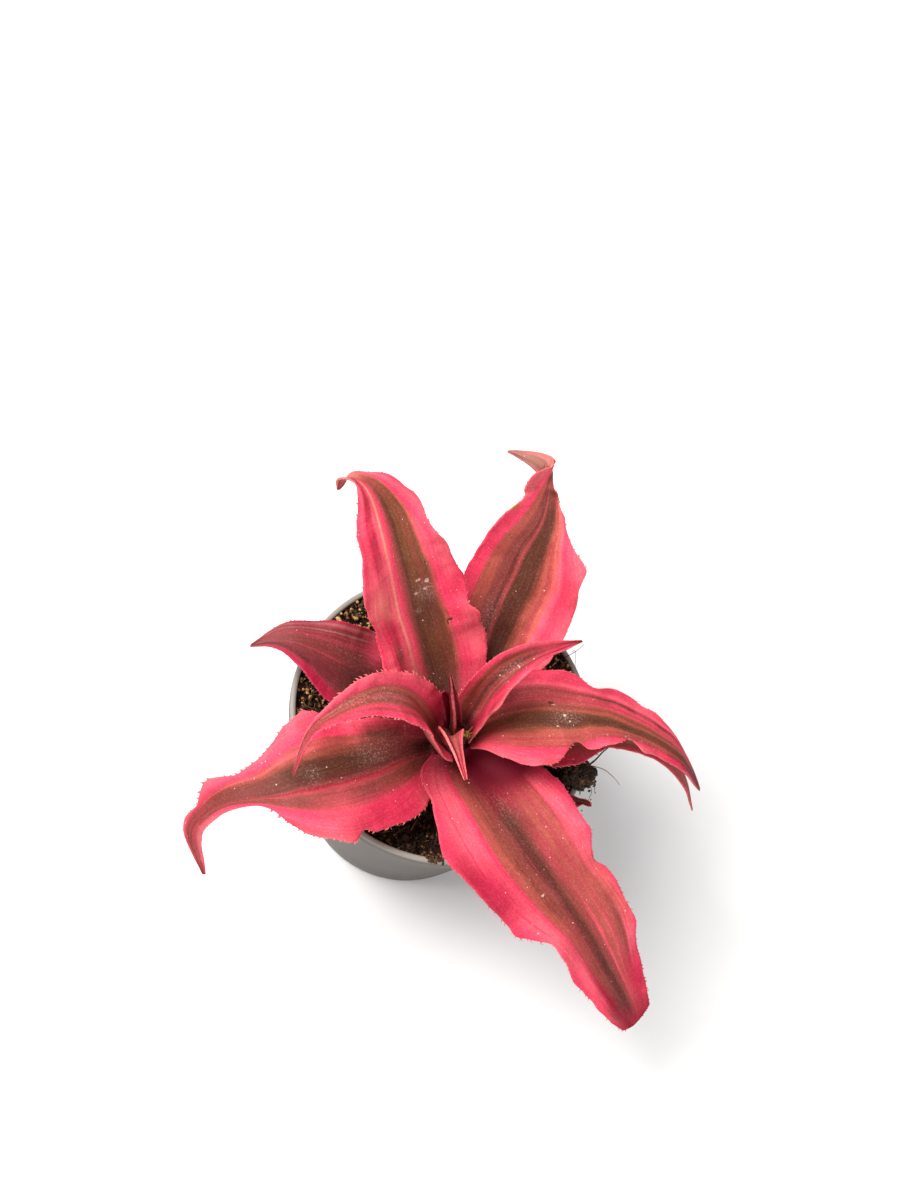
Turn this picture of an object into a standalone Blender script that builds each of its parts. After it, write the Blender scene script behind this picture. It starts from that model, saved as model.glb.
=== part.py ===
"""Potted earth star plant: a tapered nursery pot filled with potting mix, and a short stem with a rosette
of broad ruffled leaves. Lengths are in millimetres and become metres where a mesh is made. The origin is
the centre of the pot's foot, with +Z up."""

from math import cos, pi, radians, sin

import bmesh
import bpy
import numpy as np

MM = 0.001
GAP = 0.3
SHARP_EDGE = radians(50)

# Pot
POT_HEIGHT = 46.0
RIM_RADIUS = 30.0
FOOT_RADIUS = 21.0
WALL = 1.1
LIP_WIDTH = 1.7
LIP_BAND = 3.2
LIP_ROUND = 0.5
LIP_PROUD = 0.5
FLOOR = 1.6
FLOOR_CURVE = 1.5
FOOT_ROUND = 1.1
POT_SIDES = 56
DRAIN_HOLES = 6
DRAIN_RADIUS = 2.2
DRAIN_CIRCLE = 12.5
DRAIN_SIDES = 16

# Potting mix: it fills the pot, and is heaped up to the rim on one side
MIX_TOP = 42.2
MIX_LUMP = 0.55
MIX_SIDES = 40
MIX_RINGS = 7
MOUND_HEIGHT = 0.8
MOUND_SPREAD = 5.5
HEAP_HEIGHT = 3.0
HEAP_SPREAD = 3.3
HEAP_X = 26.0
HEAP_Y = 1.0

# Clump of mix lying on the rim, beside the heap
CLUMP_X = 29.0
CLUMP_Y = 1.0
CLUMP_LENGTH = 7.4
CLUMP_WIDTH = 7.0
CLUMP_HEIGHT = 2.4

# Stem
STEM_X = 3.5
STEM_Y = -5.8
STEM_RADIUS = 3.2
STEM_FOOT = 32.0
STEM_SHOULDER = 49.5
STEM_TOP_RADIUS = 1.6
STEM_TOP = 55.3
STEM_SIDES = 20

# Leaf blade
RIB_THICK = 1.0
MARGIN_THICK = 0.4
NARROWEST = 0.3
TIP_CROWDING = 1.35
CUP_START = 0.35

# Each leaf runs from its base beside the stem to its tip. A row is a point of the midrib (x, y, z), the
# widths of the blade to its left and right, how far the blade is banked, left side up, and how far it is
# cupped, in degrees.
# grid: steps along and across the blade.
# ruffle: height, waves along the blade, start of the wave on the left and on the right margin.
# nicks: side (-1 left, 1 right), place along the blade, share of the half width missing there, spread.
LEAVES = {
    "leaf_back_left": {
        "grid": (22, 6),
        "rows": [
            (0.6, -3.6, 49.9, 4.5, 4, 0, 38),
            (-6, 3, 54, 9.5, 11.5, -6, 14),
            (-11, 7, 60, 11, 12, -6, 12),
            (-15.5, 10.5, 66, 10.5, 10, -4, 10),
            (-20.5, 14, 71, 9, 9, 0, 8),
            (-26, 18, 75, 7, 7.2, 0, 5),
            (-31, 20.5, 77, 3.8, 4.5, 0, 5),
            (-35, 21.5, 75.5, 1.6, 2, 0, 10),
            (-37, 19.5, 72, 0.3, 0.3, 0, 10),
        ],
        "ruffle": (0.9, 3.0, 0.0, 0.4),
        "nicks": [(1, 0.67, 0.2, 0.07), (1, 0.36, 0.1, 0.04)],
    },
    "leaf_back_right": {
        "grid": (26, 6),
        "rows": [
            (2.8, -2.1, 47, 4, 3.6, 0, 35),
            (2, 14, 51, 8, 11, -8, 10),
            (1, 20, 57, 9.5, 13, -8, 8),
            (0.5, 26, 64, 9.5, 13, -6, 8),
            (-0.5, 31.5, 70, 8, 7.4, 0, 5),
            (-2, 36.5, 75, 5, 3, 5, 5),
            (-2.8, 39.5, 76.8, 3, 2.4, 40, 8),
            (-4.5, 41.5, 77.6, 2.4, 2.2, 110, 12),
            (-7.5, 42.4, 77, 2, 2, 150, 15),
            (-12, 42.5, 74.5, 0.3, 0.3, 165, 15),
        ],
        "ruffle": (0.9, 3.0, 0.3, 0.0),
        "nicks": [(-1, 0.76, 0.25, 0.04), (1, 0.64, 0.08, 0.04)],
    },
    "leaf_right": {
        "grid": (22, 6),
        "rows": [
            (6.4, -4, 52.1, 4, 4.5, 0, 40),
            (9, -1, 55.4, 7.5, 7.5, 0, 15),
            (13.5, 2, 58.5, 9, 11, 0, 10),
            (19, 4.5, 60.5, 8.5, 10.5, 0, 5),
            (25, 7.5, 60.5, 6.6, 7, 0, 5),
            (32.5, 9.5, 58.5, 7.2, 4.4, 0, 0),
            (39.5, 10.5, 55, 4.8, 2.5, 0, -10),
            (46, 10.5, 51, 3.2, 1.8, 0, -10),
            (52, 10.5, 46, 0.3, 0.3, 0, 0),
        ],
        "ruffle": (0.9, 3.0, 0.1, 0.5),
        "nicks": [(-1, 0.44, 0.18, 0.05), (1, 0.39, 0.3, 0.06)],
    },
    "leaf_right_low": {
        "grid": (18, 6),
        "rows": [
            (6.7, -4, 46.2, 2.3, 2.3, 0, 20),
            (13.5, -0.5, 48.5, 6, 5.5, 0, 6),
            (20, 3.5, 50.4, 6, 5, 0, 0),
            (26, 7, 51, 5, 4.8, 0, 0),
            (32, 10.5, 49.8, 3.5, 2.4, 0, 0),
            (40, 14, 46, 2.5, 2, 0, 0),
            (46, 15, 42, 1.8, 1.8, 0, 0),
            (51, 14, 38, 1.2, 1.2, 0, 0),
            (55, 12, 33, 0.3, 0.3, 0, 0),
        ],
        "ruffle": (0.3, 3.0, 0.0, 0.5),
        "nicks": [],
    },
    "leaf_right_back_low": {
        "grid": (12, 4),
        "rows": [
            (4.2, -2.3, 44.6, 2.6, 2.4, 0, 20),
            (6, 6, 46.3, 6, 6, 0, 5),
            (8, 13, 47.6, 6, 6.5, 0, 0),
            (8.8, 19, 48.2, 4.5, 5, 0, 0),
            (8.5, 23.5, 47.9, 2.4, 2.4, 0, 0),
            (7.8, 27, 47, 0.3, 0.3, 0, 0),
        ],
        "ruffle": (0.3, 2.0, 0.0, 0.5),
        "nicks": [],
    },
    "leaf_front_right_low": {
        "grid": (12, 4),
        "rows": [
            (7, -7.2, 44.6, 1.7, 2.3, 0, 18),
            (10, -7.3, 45.5, 3, 3.2, 0, 10),
            (14, -7, 46.8, 4.2, 4.2, 0, 5),
            (22, -6.8, 48, 3.6, 3.6, 0, 5),
            (28, -5.2, 48.2, 1.8, 1.8, 0, 20),
            (31, -4.2, 47.8, 1, 1, 0, 35),
            (33.4, -3.4, 47, 0.3, 0.3, 0, 40),
        ],
        "ruffle": (0.3, 2.0, 0.0, 0.5),
        "nicks": [],
    },
    "leaf_front": {
        "grid": (24, 6),
        "rows": [
            (6.7, -7.9, 49.2, 5, 7, 0, 42),
            (10, -11, 51.7, 10, 11.5, -5, 12),
            (18, -17, 53.5, 13, 12, -2, 5),
            (25, -21.5, 54, 13.5, 12.5, 0, 0),
            (32.5, -25.5, 53, 13, 10, 0, 0),
            (40, -29, 51, 12, 6.3, 0, 0),
            (48, -32.5, 47, 9.5, 5, 0, -5),
            (54, -34.5, 43, 7, 4.5, 0, -5),
            (57.5, -36.5, 38.5, 3, 2.5, 0, 0),
        ],
        "ruffle": (0.8, 3.0, 0.2, 0.7),
        "nicks": [(1, 0.6, 0.12, 0.04), (-1, 0.5, 0.1, 0.03)],
    },
    "leaf_front_left": {
        "grid": (24, 6),
        "rows": [
            (1.2, -8.8, 47.3, 4.5, 4.5, 0, 34),
            (-3, -14, 50.5, 9, 8, -6, 10),
            (-7, -20, 53.5, 11.5, 11, -4, 5),
            (-13, -26.5, 56, 12, 13, 0, 0),
            (-18.5, -31, 55.5, 8, 12, 0, 0),
            (-23.5, -34.5, 53, 3, 8.5, 0, 0),
            (-28, -37, 50, 2, 5.5, 0, 0),
            (-31, -39.5, 46, 1.8, 3.2, 0, 0),
            (-32, -42.5, 40, 1.5, 2.4, 0, 0),
            (-27, -46, 32, 0.3, 0.3, 0, 0),
        ],
        "ruffle": (0.8, 3.0, 0.4, 0.1),
        "nicks": [(-1, 0.26, 0.08, 0.03)],
    },
    "leaf_left": {
        "grid": (18, 6),
        "rows": [
            (-0.7, -6, 45.2, 3.5, 3.5, 0, 25),
            (-11, -1.5, 49, 8, 8.5, 0, 6),
            (-16, -2, 52, 8.5, 8.6, 0, 4),
            (-22, -3.5, 55, 8, 7.5, 0, 4),
            (-27, -4.5, 56.5, 5.5, 6, 0, 4),
            (-32, -5.5, 56.8, 3, 3.8, 0, 0),
            (-35.5, -6.5, 55.2, 1.5, 2, 0, 0),
            (-39, -7.5, 51.3, 0.3, 0.3, 0, 0),
        ],
        "ruffle": (0.5, 3.0, 0.1, 0.5),
        "nicks": [],
    },
    "leaf_inner_left": {
        "grid": (20, 6),
        "rows": [
            (0.9, -7.4, 51.4, 5, 3.6, -16, 44),
            (-2.5, -8.2, 58.2, 8.8, 6, -16, 30),
            (-6.5, -9, 65, 6.8, 5.8, 0, 20),
            (-11, -11.5, 69.5, 6, 4.5, 0, 10),
            (-14.5, -15.5, 72, 3.7, 3.2, 0, 5),
            (-17.5, -20, 72, 2.2, 2.2, 0, 0),
            (-20, -24, 70, 1.2, 1.2, 0, 0),
            (-20.5, -27, 66, 0.8, 0.8, 0, 0),
            (-20, -29.5, 58, 0.3, 0.3, 0, 0),
        ],
        "ruffle": (0.5, 3.0, 0.0, 0.5),
        "nicks": [],
    },
    "leaf_inner_right": {
        "grid": (14, 6),
        "rows": [
            (4.5, -3.7, 54, 3.2, 4, 0, 46),
            (4.7, -1.8, 59, 4.1, 4.6, 0, 44),
            (5, 0.8, 64.5, 4, 4.4, 0, 40),
            (6.8, 4, 69, 3.6, 3.4, 0, 36),
            (9.5, 7.5, 71, 2.5, 2, 0, 32),
            (13, 11.5, 71, 1.3, 1, 0, 30),
            (16.5, 16, 69, 0.3, 0.3, 0, 20),
        ],
        "ruffle": (0.4, 2.0, 0.0, 0.5),
        "nicks": [],
    },
    "leaf_heart_front": {
        "grid": (10, 4),
        "rows": [
            (3.8, -7.8, 54.4, 1.8, 1.8, 0, 50),
            (3.2, -9, 59.6, 2.4, 2.4, 0, 50),
            (3.6, -11.2, 63.2, 2.3, 2.3, 0, 46),
            (5.3, -13.9, 64.4, 1.4, 1.4, 0, 44),
            (8.3, -17.6, 64, 0.3, 0.3, 0, 40),
        ],
        "ruffle": (0, 1, 0, 0),
        "nicks": [],
    },
    "leaf_heart_spike": {
        "grid": (8, 4),
        "rows": [
            (3, -6.1, 55.9, 1.4, 1.4, 0, 60),
            (1.4, -6.2, 63, 1.4, 1.4, 0, 65),
            (-0.6, -6.2, 69.5, 0.9, 0.9, 0, 65),
            (-2.9, -6, 76, 0.3, 0.3, 0, 60),
        ],
        "ruffle": (0, 1, 0, 0),
        "nicks": [],
    },
    "leaf_heart_back": {
        "grid": (8, 4),
        "rows": [
            (1.6, -5.3, 54.9, 1, 1, 0, 35),
            (0.1, -5.1, 59, 1.1, 1.5, 0, 35),
            (-1.1, -5, 62.5, 1.1, 1.8, 0, 35),
            (-2.5, -5.1, 65.5, 0.6, 0.7, 0, 35),
        ],
        "ruffle": (0, 1, 0, 0),
        "nicks": [],
    },
}

PINK = (0.62, 0.09, 0.11)
LEAF_COLOURS = {
    "leaf_back_left": (0.55, 0.08, 0.09),
    "leaf_back_right": (0.48, 0.07, 0.08),
    "leaf_left": (0.32, 0.05, 0.06),
    "leaf_front_right_low": (0.2, 0.02, 0.02),
}


def material(name, colour, roughness):
    made = bpy.data.materials.new(name)
    made.use_nodes = True
    shader = made.node_tree.nodes["Principled BSDF"]
    shader.inputs["Base Color"].default_value = (*colour, 1.0)
    shader.inputs["Roughness"].default_value = roughness
    shader.inputs["Metallic"].default_value = 0.0
    made.diffuse_color = (*colour, 1.0)
    return made


def placed(name, shape, made, location=(0.0, 0.0, 0.0), parent=None):
    """Turns a bmesh in millimetres into a smooth-shaded object, which hangs under parent if there is one."""
    bmesh.ops.scale(shape, vec=(MM, MM, MM), verts=shape.verts)
    mesh = bpy.data.meshes.new(name)
    shape.to_mesh(mesh)
    shape.free()
    mesh.shade_smooth()
    mesh.set_sharp_from_angle(angle=SHARP_EDGE)
    mesh.materials.append(made)
    piece = bpy.data.objects.new(name, mesh)
    piece.location = [MM * length for length in location]
    piece.parent = parent
    bpy.context.scene.collection.objects.link(piece)
    return piece


def turned(profile, sides):
    """A bmesh of a profile of (radius, height) points turned round Z. It starts and ends on the axis."""
    shape = bmesh.new()
    points = [shape.verts.new((radius, 0.0, height)) for radius, height in profile]
    edges = [shape.edges.new(pair) for pair in zip(points, points[1:])]
    outline = points + edges
    bmesh.ops.spin(shape, geom=outline, axis=(0, 0, 1), cent=(0, 0, 0), angle=2 * pi, steps=sides)
    bmesh.ops.remove_doubles(shape, verts=shape.verts, dist=0.001)
    bmesh.ops.recalc_face_normals(shape, faces=shape.faces)
    return shape


def drum(radius, low, high, sides):
    """A bmesh of a plain upright cylinder."""
    return turned([(0, low), (radius, low), (radius, high), (0, high)], sides)


def cutter(name, shape, location=(0.0, 0.0, 0.0)):
    """A helper that is only subtracted."""
    piece = placed(name, shape, material(name, (0.5, 0.5, 0.5), 0.5), location)
    piece.hide_render = True
    piece.display_type = "WIRE"
    return piece


def subtract(target, tool):
    cut = target.modifiers.new(tool.name, "BOOLEAN")
    cut.operation = "DIFFERENCE"
    cut.solver = "EXACT"
    cut.object = tool


def wall_radius(height):
    """Outer radius of the pot's wall at a height."""
    return FOOT_RADIUS + (RIM_RADIUS - LIP_PROUD - FOOT_RADIUS) * height / POT_HEIGHT


def build_pot():
    band = POT_HEIGHT - LIP_BAND
    inner_lip = RIM_RADIUS - LIP_WIDTH
    profile = [
        (0, 0),
        (FOOT_RADIUS - FOOT_ROUND, 0),
        (FOOT_RADIUS - 0.2 * FOOT_ROUND, 0.3 * FOOT_ROUND),
        (wall_radius(FOOT_ROUND), FOOT_ROUND),
        (wall_radius(0.5 * band), 0.5 * band),
        (wall_radius(band - LIP_PROUD), band - LIP_PROUD),
        (RIM_RADIUS - 0.5 * LIP_ROUND, band),
        (RIM_RADIUS, POT_HEIGHT - LIP_ROUND),
        (RIM_RADIUS - 0.6 * LIP_ROUND, POT_HEIGHT),
        (inner_lip + 0.7 * LIP_ROUND, POT_HEIGHT - 0.2 * LIP_ROUND),
        (inner_lip, POT_HEIGHT - 1.4 * LIP_ROUND),
        (wall_radius(band) - WALL, band),
        (wall_radius(FLOOR + FLOOR_CURVE) - WALL, FLOOR + FLOOR_CURVE),
        (wall_radius(FLOOR) - WALL - 0.7 * FLOOR_CURVE, FLOOR),
        (0, FLOOR),
    ]
    pot = placed("pot", turned(profile, POT_SIDES), material("pot_plastic", (0.16, 0.14, 0.12), 0.42))
    for hole in range(DRAIN_HOLES):
        turn = 2 * pi * (hole + 0.5) / DRAIN_HOLES
        centre = (DRAIN_CIRCLE * cos(turn), DRAIN_CIRCLE * sin(turn), 0.0)
        subtract(pot, cutter(f"drain_drill_{hole}", drum(DRAIN_RADIUS, -1, FLOOR + 1, DRAIN_SIDES), centre))


def rise(x, y, centre_x, centre_y, height, spread):
    """Height of a smooth hump at a point."""
    return height * np.exp(-((x - centre_x) ** 2 + (y - centre_y) ** 2) / (2 * spread**2))


def mix_relief(x, y):
    """How far the uneven top of the potting mix stands above its level."""
    lumps = sin(0.62 * x + 1.1) * cos(0.55 * y - 0.4)
    lumps += 0.6 * sin(1.15 * y + 0.5 * x)
    lumps += 0.4 * cos(1.4 * x - 0.9 * y)
    mound = rise(x, y, STEM_X, STEM_Y, MOUND_HEIGHT, MOUND_SPREAD)
    return MIX_LUMP * lumps + mound + rise(x, y, HEAP_X, HEAP_Y, HEAP_HEIGHT, HEAP_SPREAD)


def build_mix():
    low = FLOOR + GAP
    clearance = WALL + GAP
    edge = wall_radius(MIX_TOP - 1.2) - clearance - 0.3
    profile = [
        (0, low),
        (wall_radius(FLOOR) - clearance - 1.2, low),
        (wall_radius(low + 1.6) - clearance - 0.1, low + 1.6),
        (edge, MIX_TOP - 1.4),
    ]
    profile += [(edge * (0.99 - ring / MIX_RINGS), MIX_TOP) for ring in range(MIX_RINGS)]
    profile.append((0, MIX_TOP))
    shape = turned(profile, MIX_SIDES)
    for point in shape.verts:
        if point.co.z > MIX_TOP - 0.1:
            point.co.z += mix_relief(point.co.x, point.co.y)
    mix = placed("potting_mix", shape, material("mix", (0.035, 0.017, 0.009), 0.95))
    pocket = drum(STEM_RADIUS + GAP, STEM_FOOT - GAP, MIX_TOP + 9, STEM_SIDES)
    subtract(mix, cutter("stem_pocket", pocket, (STEM_X, STEM_Y, 0.0)))


def build_clump():
    shape = bmesh.new()
    bmesh.ops.create_icosphere(shape, subdivisions=3, radius=1.0)
    for point in shape.verts:
        x, y, z = point.co
        lump = 1 + 0.14 * sin(5.1 * x + 1.3) * cos(4.3 * y) + 0.08 * sin(7 * y + 5 * x)
        flat = np.tanh(1.6 * z) / np.tanh(1.6)
        point.co = (
            0.5 * CLUMP_LENGTH * lump * x,
            0.5 * CLUMP_WIDTH * lump * y,
            0.5 * CLUMP_HEIGHT * (flat + 0.12 * max(z, 0.0) * sin(6 * x) * cos(5 * y)),
        )
    seat = (CLUMP_X, CLUMP_Y, POT_HEIGHT + GAP + 0.5 * CLUMP_HEIGHT)
    placed("mix_clump", shape, material("clump", (0.04, 0.018, 0.009), 0.95), seat)


def build_stem(plant):
    waist = 0.5 * (STEM_RADIUS + STEM_TOP_RADIUS)
    profile = [
        (0, STEM_FOOT),
        (STEM_RADIUS * 0.8, STEM_FOOT),
        (STEM_RADIUS, STEM_FOOT + 1.2),
        (STEM_RADIUS, 0.5 * (STEM_FOOT + STEM_SHOULDER)),
        (STEM_RADIUS, STEM_SHOULDER - 1),
        (waist, STEM_SHOULDER + 1.5),
        (STEM_TOP_RADIUS, STEM_SHOULDER + 3.5),
        (STEM_TOP_RADIUS * 0.8, STEM_TOP - 1),
        (STEM_TOP_RADIUS * 0.4, STEM_TOP - 0.2),
        (0, STEM_TOP),
    ]
    skin = material("stem_skin", (0.2, 0.05, 0.03), 0.6)
    placed("stem", turned(profile, STEM_SIDES), skin, (STEM_X, STEM_Y, 0.0), plant)


def through(rows, count):
    """Smooth curve through the rows, in steps that shorten towards the tip, with the share of each point."""
    rows = np.array(rows, float)
    spans = len(rows) - 1
    ends = np.vstack([2 * rows[0] - rows[1], rows, 2 * rows[-1] - rows[-2]])
    place = np.linspace(0, spans, 40 * spans + 1)
    span = np.minimum(place.astype(int), spans - 1)
    part = (place - span)[:, None]
    a, b, c, d = (ends[span + step] for step in range(4))
    square = (2 * a - 5 * b + 4 * c - d) * part**2
    cube = (3 * b - a - 3 * c + d) * part**3
    curve = 0.5 * (2 * b + (c - a) * part + square + cube)
    steps = np.linalg.norm(np.diff(curve[:, :3], axis=0), axis=1)
    length = np.concatenate([[0.0], np.cumsum(steps)])
    share = 1 - (1 - np.linspace(0, 1, count + 1)) ** TIP_CROWDING
    return share, np.stack([np.interp(share * length[-1], length, column) for column in curve.T], axis=-1)


def unit(vectors):
    return vectors / np.linalg.norm(vectors, axis=-1, keepdims=True)


def blade_axes(rib, course, bank):
    """Directions to the left and upwards out of the blade at each point of the midrib."""
    heading = unit(np.gradient(rib, axis=0))
    left = np.cross([0.0, 0.0, 1.0], unit(course))
    left = unit(left - (heading @ left)[:, None] * heading)
    up = np.cross(heading, left)
    return left * np.cos(bank) + up * np.sin(bank), up * np.cos(bank) - left * np.sin(bank)


def blade(leaf):
    """Upper surface of a leaf as a grid of points, from base to tip and from left to right margin."""
    along, across = leaf["grid"]
    share, line = through(leaf["rows"], along)
    rib = line[:, :3]
    fold = np.radians(line[:, 6:7])
    course = np.array([leaf["rows"][-2][0] - rib[0, 0], leaf["rows"][-2][1] - rib[0, 1], 0.0])
    left, up = blade_axes(rib, course, np.radians(line[:, 5:6]))
    height, waves, left_start, right_start = leaf["ruffle"]
    surface = np.zeros((along + 1, across + 1, 3))
    for column, place in enumerate(np.linspace(-1, 1, across + 1)):
        side = -1 if place < 0 else 1
        out = abs(place)
        half = np.maximum(line[:, 3 if side < 0 else 4], NARROWEST)
        for where, middle, missing, spread in leaf["nicks"]:
            if where == side:
                half = half * (1 - missing * np.exp(-(((share - middle) / spread) ** 2)))
        steps = (np.arange(12) + 0.5) / 12 * out
        slope = fold * np.minimum(1, steps / CUP_START)
        reach = half * np.cos(slope).mean(axis=1) * out
        lift = half * np.sin(slope).mean(axis=1) * out
        start = left_start if side < 0 else right_start
        swell = np.sin(pi * share) ** 0.7 * np.minimum(1, half / 6)
        lift = lift + height * out**2 * swell * np.sin(2 * pi * (waves * share + start))
        surface[:, column] = rib - side * left * reach[:, None] + up * lift[:, None]
    return share, surface


def build_leaf(name, leaf, plant):
    """A leaf: its upper surface thickened below, most along the midrib and least at the margins and tip."""
    share, surface = blade(leaf)
    along, across = leaf["grid"]
    shape = bmesh.new()
    weights = shape.verts.layers.deform.verify()
    points = []
    for row in range(along + 1):
        for column in range(across + 1):
            point = shape.verts.new(surface[row, column])
            out = 2 * column / across - 1
            point[weights][0] = (1 - out**2) * (1 - share[row] ** 3)
            points.append(point)
    wide = across + 1
    for row in range(along):
        for column in range(across):
            corner = row * wide + column
            shape.faces.new([points[corner + step] for step in (0, 1, wide + 1, wide)])
    skin = material(name + "_skin", LEAF_COLOURS.get(name, PINK), 0.45)
    piece = placed(name, shape, skin, parent=plant)
    thick = piece.modifiers.new("blade thickness", "SOLIDIFY")
    thick.thickness = RIB_THICK * MM
    thick.offset = -1.0
    thick.vertex_group = piece.vertex_groups.new(name="rib").name
    thick.thickness_vertex_group = MARGIN_THICK / RIB_THICK


def main():
    for old in list(bpy.data.objects):
        bpy.data.objects.remove(old, do_unlink=True)
    build_pot()
    build_mix()
    build_clump()
    plant = bpy.data.objects.new("plant", None)
    bpy.context.scene.collection.objects.link(plant)
    build_stem(plant)
    for name, leaf in LEAVES.items():
        build_leaf(name, leaf, plant)


main()
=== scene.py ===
"""Looks of a potted earth star plant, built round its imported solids: a moulded nursery pot, bark mix, a
short stem and a rosette of ruffled leaves. It is laid out as an add-on and is run as a script. The tables
give lengths in millimetres, and a mesh is turned into metres where it is made."""

from math import cos, pi, radians, sin, sqrt

import bmesh
import bpy
import numpy as np
from bpy.props import FloatProperty, FloatVectorProperty, IntProperty, PointerProperty
from mathutils import Matrix, Vector, noise


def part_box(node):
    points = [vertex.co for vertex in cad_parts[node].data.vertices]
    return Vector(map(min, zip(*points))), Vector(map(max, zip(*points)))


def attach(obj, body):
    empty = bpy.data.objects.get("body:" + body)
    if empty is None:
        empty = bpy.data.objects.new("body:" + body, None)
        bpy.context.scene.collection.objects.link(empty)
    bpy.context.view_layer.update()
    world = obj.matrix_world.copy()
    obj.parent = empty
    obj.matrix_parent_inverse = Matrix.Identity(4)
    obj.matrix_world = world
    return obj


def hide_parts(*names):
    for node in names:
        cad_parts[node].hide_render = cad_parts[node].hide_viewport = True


bl_info = {
    "name": "Earth star plant",
    "version": (1, 0, 0),
    "blender": (4, 5, 0),
    "location": "3D View > Sidebar > Earth star",
    "description": "Dresses a potted earth star plant with its pot, potting mix, stem and leaves",
    "category": "Add Mesh",
}

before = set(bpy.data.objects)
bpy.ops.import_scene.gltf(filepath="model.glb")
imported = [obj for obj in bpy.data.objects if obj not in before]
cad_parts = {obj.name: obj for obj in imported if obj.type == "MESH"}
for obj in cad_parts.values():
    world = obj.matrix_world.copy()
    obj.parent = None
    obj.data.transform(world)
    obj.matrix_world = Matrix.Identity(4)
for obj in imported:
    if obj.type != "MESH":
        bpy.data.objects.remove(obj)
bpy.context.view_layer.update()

MM = 0.001
BODY = "root"

# The stem, ringed by scars at an even pitch
STEM_X = 3.5
STEM_Y = -5.8
STEM_RADIUS = 3.2
STEM_FOOT = 32.0
STEM_SHOULDER = 49.5
STEM_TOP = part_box("stem")[1].z / MM
SCAR_PITCH = 1.7

# What the leaves share: how thick a blade is, its least half width, how much closer its rows of points lie
# towards the tip, the share of its half width over which the cup comes in and the steps of that sum, the
# half width from which on it is fully wavy, the pitches of its random waves and the sides of a tooth
RIB_THICK = 1.0
MARGIN_THICK = 0.4
MARGIN_ROUND = 0.1
NARROWEST = 0.12
TIP_CROWDING = 1.35
CUP_START = 0.35
CUP_STEPS = 12
WAVY_WIDTH = 6.0
WAVER_PITCH = 2.4
RIPPLE_PITCH = 2.8
TOOTH_SIDES = 6

# The pot, as its solid is built, but with a slimmer lip
POT_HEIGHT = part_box("pot")[1].z / MM
RIM_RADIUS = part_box("pot")[1].x / MM
FOOT_RADIUS = 21.0
WALL = 1.1
LIP_WIDTH = 1.1
LIP_BAND = 3.2
LIP_ROUND = 0.5
LIP_PROUD = 0.5
FLOOR = 1.6
FLOOR_CURVE = 1.5
FOOT_ROUND = 1.1
FOOT_RING = 2.6
FOOT_RECESS = 0.5
DRAIN_HOLES = 6
DRAIN_RADIUS = 2.2
DRAIN_CIRCLE = 12.5

# The potting mix: how far out it reaches, the gap round its plug, its level, its lumps, the mound round the
# stem, the heap by the clump, the bank against the wall and the heap at the back right
MIX_EDGE = RIM_RADIUS - LIP_WIDTH - 0.1
PLUG_GAP = 0.4
MIX_TOP = 42.4
MIX_LUMP = 0.55
MOUND_HEIGHT = 0.8
MOUND_SPREAD = 5.5
HEAP = (26.0, 1.0)
HEAP_HEIGHT = 3.0
HEAP_SPREAD = 3.3
BANK_HEIGHT = 2.6
BANK_LEAN = 0.4
BANK_START = 18.0
BACK_HEAP = (19.0, 19.0)
BACK_HEIGHT = 1.3
BACK_SPREAD = 6.0

# How much the mix is brightened for each millimetre to the back left, as painted light
PAINTED_LIGHT_PER_MM = 0.016

# Among the bits, by a chance from 0 to 1: where chips begin, then splinters. Then how a chip, from least to
# most, and a splinter differ from a crumb in length, width and thickness.
CHIPS_FROM = 0.82
SPLINTERS_FROM = 0.95
CHIP_SIZE = ((1.2, 2.1), (1.0, 1.6), (0.4, 0.7))
SPLINTER_SIZE = (1.9, 0.34, 0.7)

# Granules on the mix: place and radius
GRANULES = [
    (-22.6, 9.0, 0.52), (-21.1, 9.4, 0.46), (-21.4, 8.1, 0.4), (-23.9, 10.2, 0.42), (-25.6, 11.3, 0.34),
]

# Loose strands: points, thickness at the start and tone
STRANDS = [
    ([(29.2, 2.6, 47.6), (30.3, 4.4, 49.0), (30.9, 6.2, 50.0), (31.6, 7.7, 50.0)], 0.22, 0.25),
    ([(29.8, 3.4, 48.2), (32.6, 3.8, 48.6), (35.0, 3.9, 47.4), (37.2, 3.6, 46.0)], 0.1, 0.75),
    ([(29.0, 2.8, 48.0), (31.6, 1.6, 47.6), (32.6, 0.7, 46.5), (33.3, 0.0, 45.4)], 0.09, 0.2),
    ([(30.5, 0.8, 47.9), (32.4, -0.6, 46.8), (32.7, -1.7, 45.7), (32.8, -2.6, 44.8)], 0.07, 0.3),
    ([(5.2, -6.5, 56.6), (5.8, -6.0, 57.3), (6.4, -5.7, 57.6), (7.0, -5.5, 57.6)], 0.1, 0.9),
    ([(5.4, -6.3, 56.6), (5.9, -6.5, 57.4), (6.5, -6.4, 57.7), (7.0, -6.4, 57.4)], 0.08, 0.8),
    ([(5.2, -6.4, 56.6), (5.3, -5.7, 57.4), (5.5, -5.2, 57.7), (5.5, -4.7, 57.7)], 0.08, 0.95),
    ([(15.6, 21.0, 46.5), (16.6, 21.6, 49.0), (17.8, 22.4, 51.8), (18.6, 23.6, 54.0)], 0.1, 0.3),
    ([(17.3, 22.4, 51.0), (17.7, 22.9, 51.2), (18.7, 21.5, 50.2), (20.0, 20.0, 47.5)], 0.06, 0.6),
]

# Loose crumbs: place, half size and tone
CRUMBS = [
    (33.2, -1.5, 44.8, 0.22, 0.3),
    (32.6, -3.9, 43.6, 0.25, 0.2),
    (33.4, 0.0, 45.3, 0.18, 0.15),
    (24.6, -16.3, 46.2, 0.5, 0.85),
]

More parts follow.
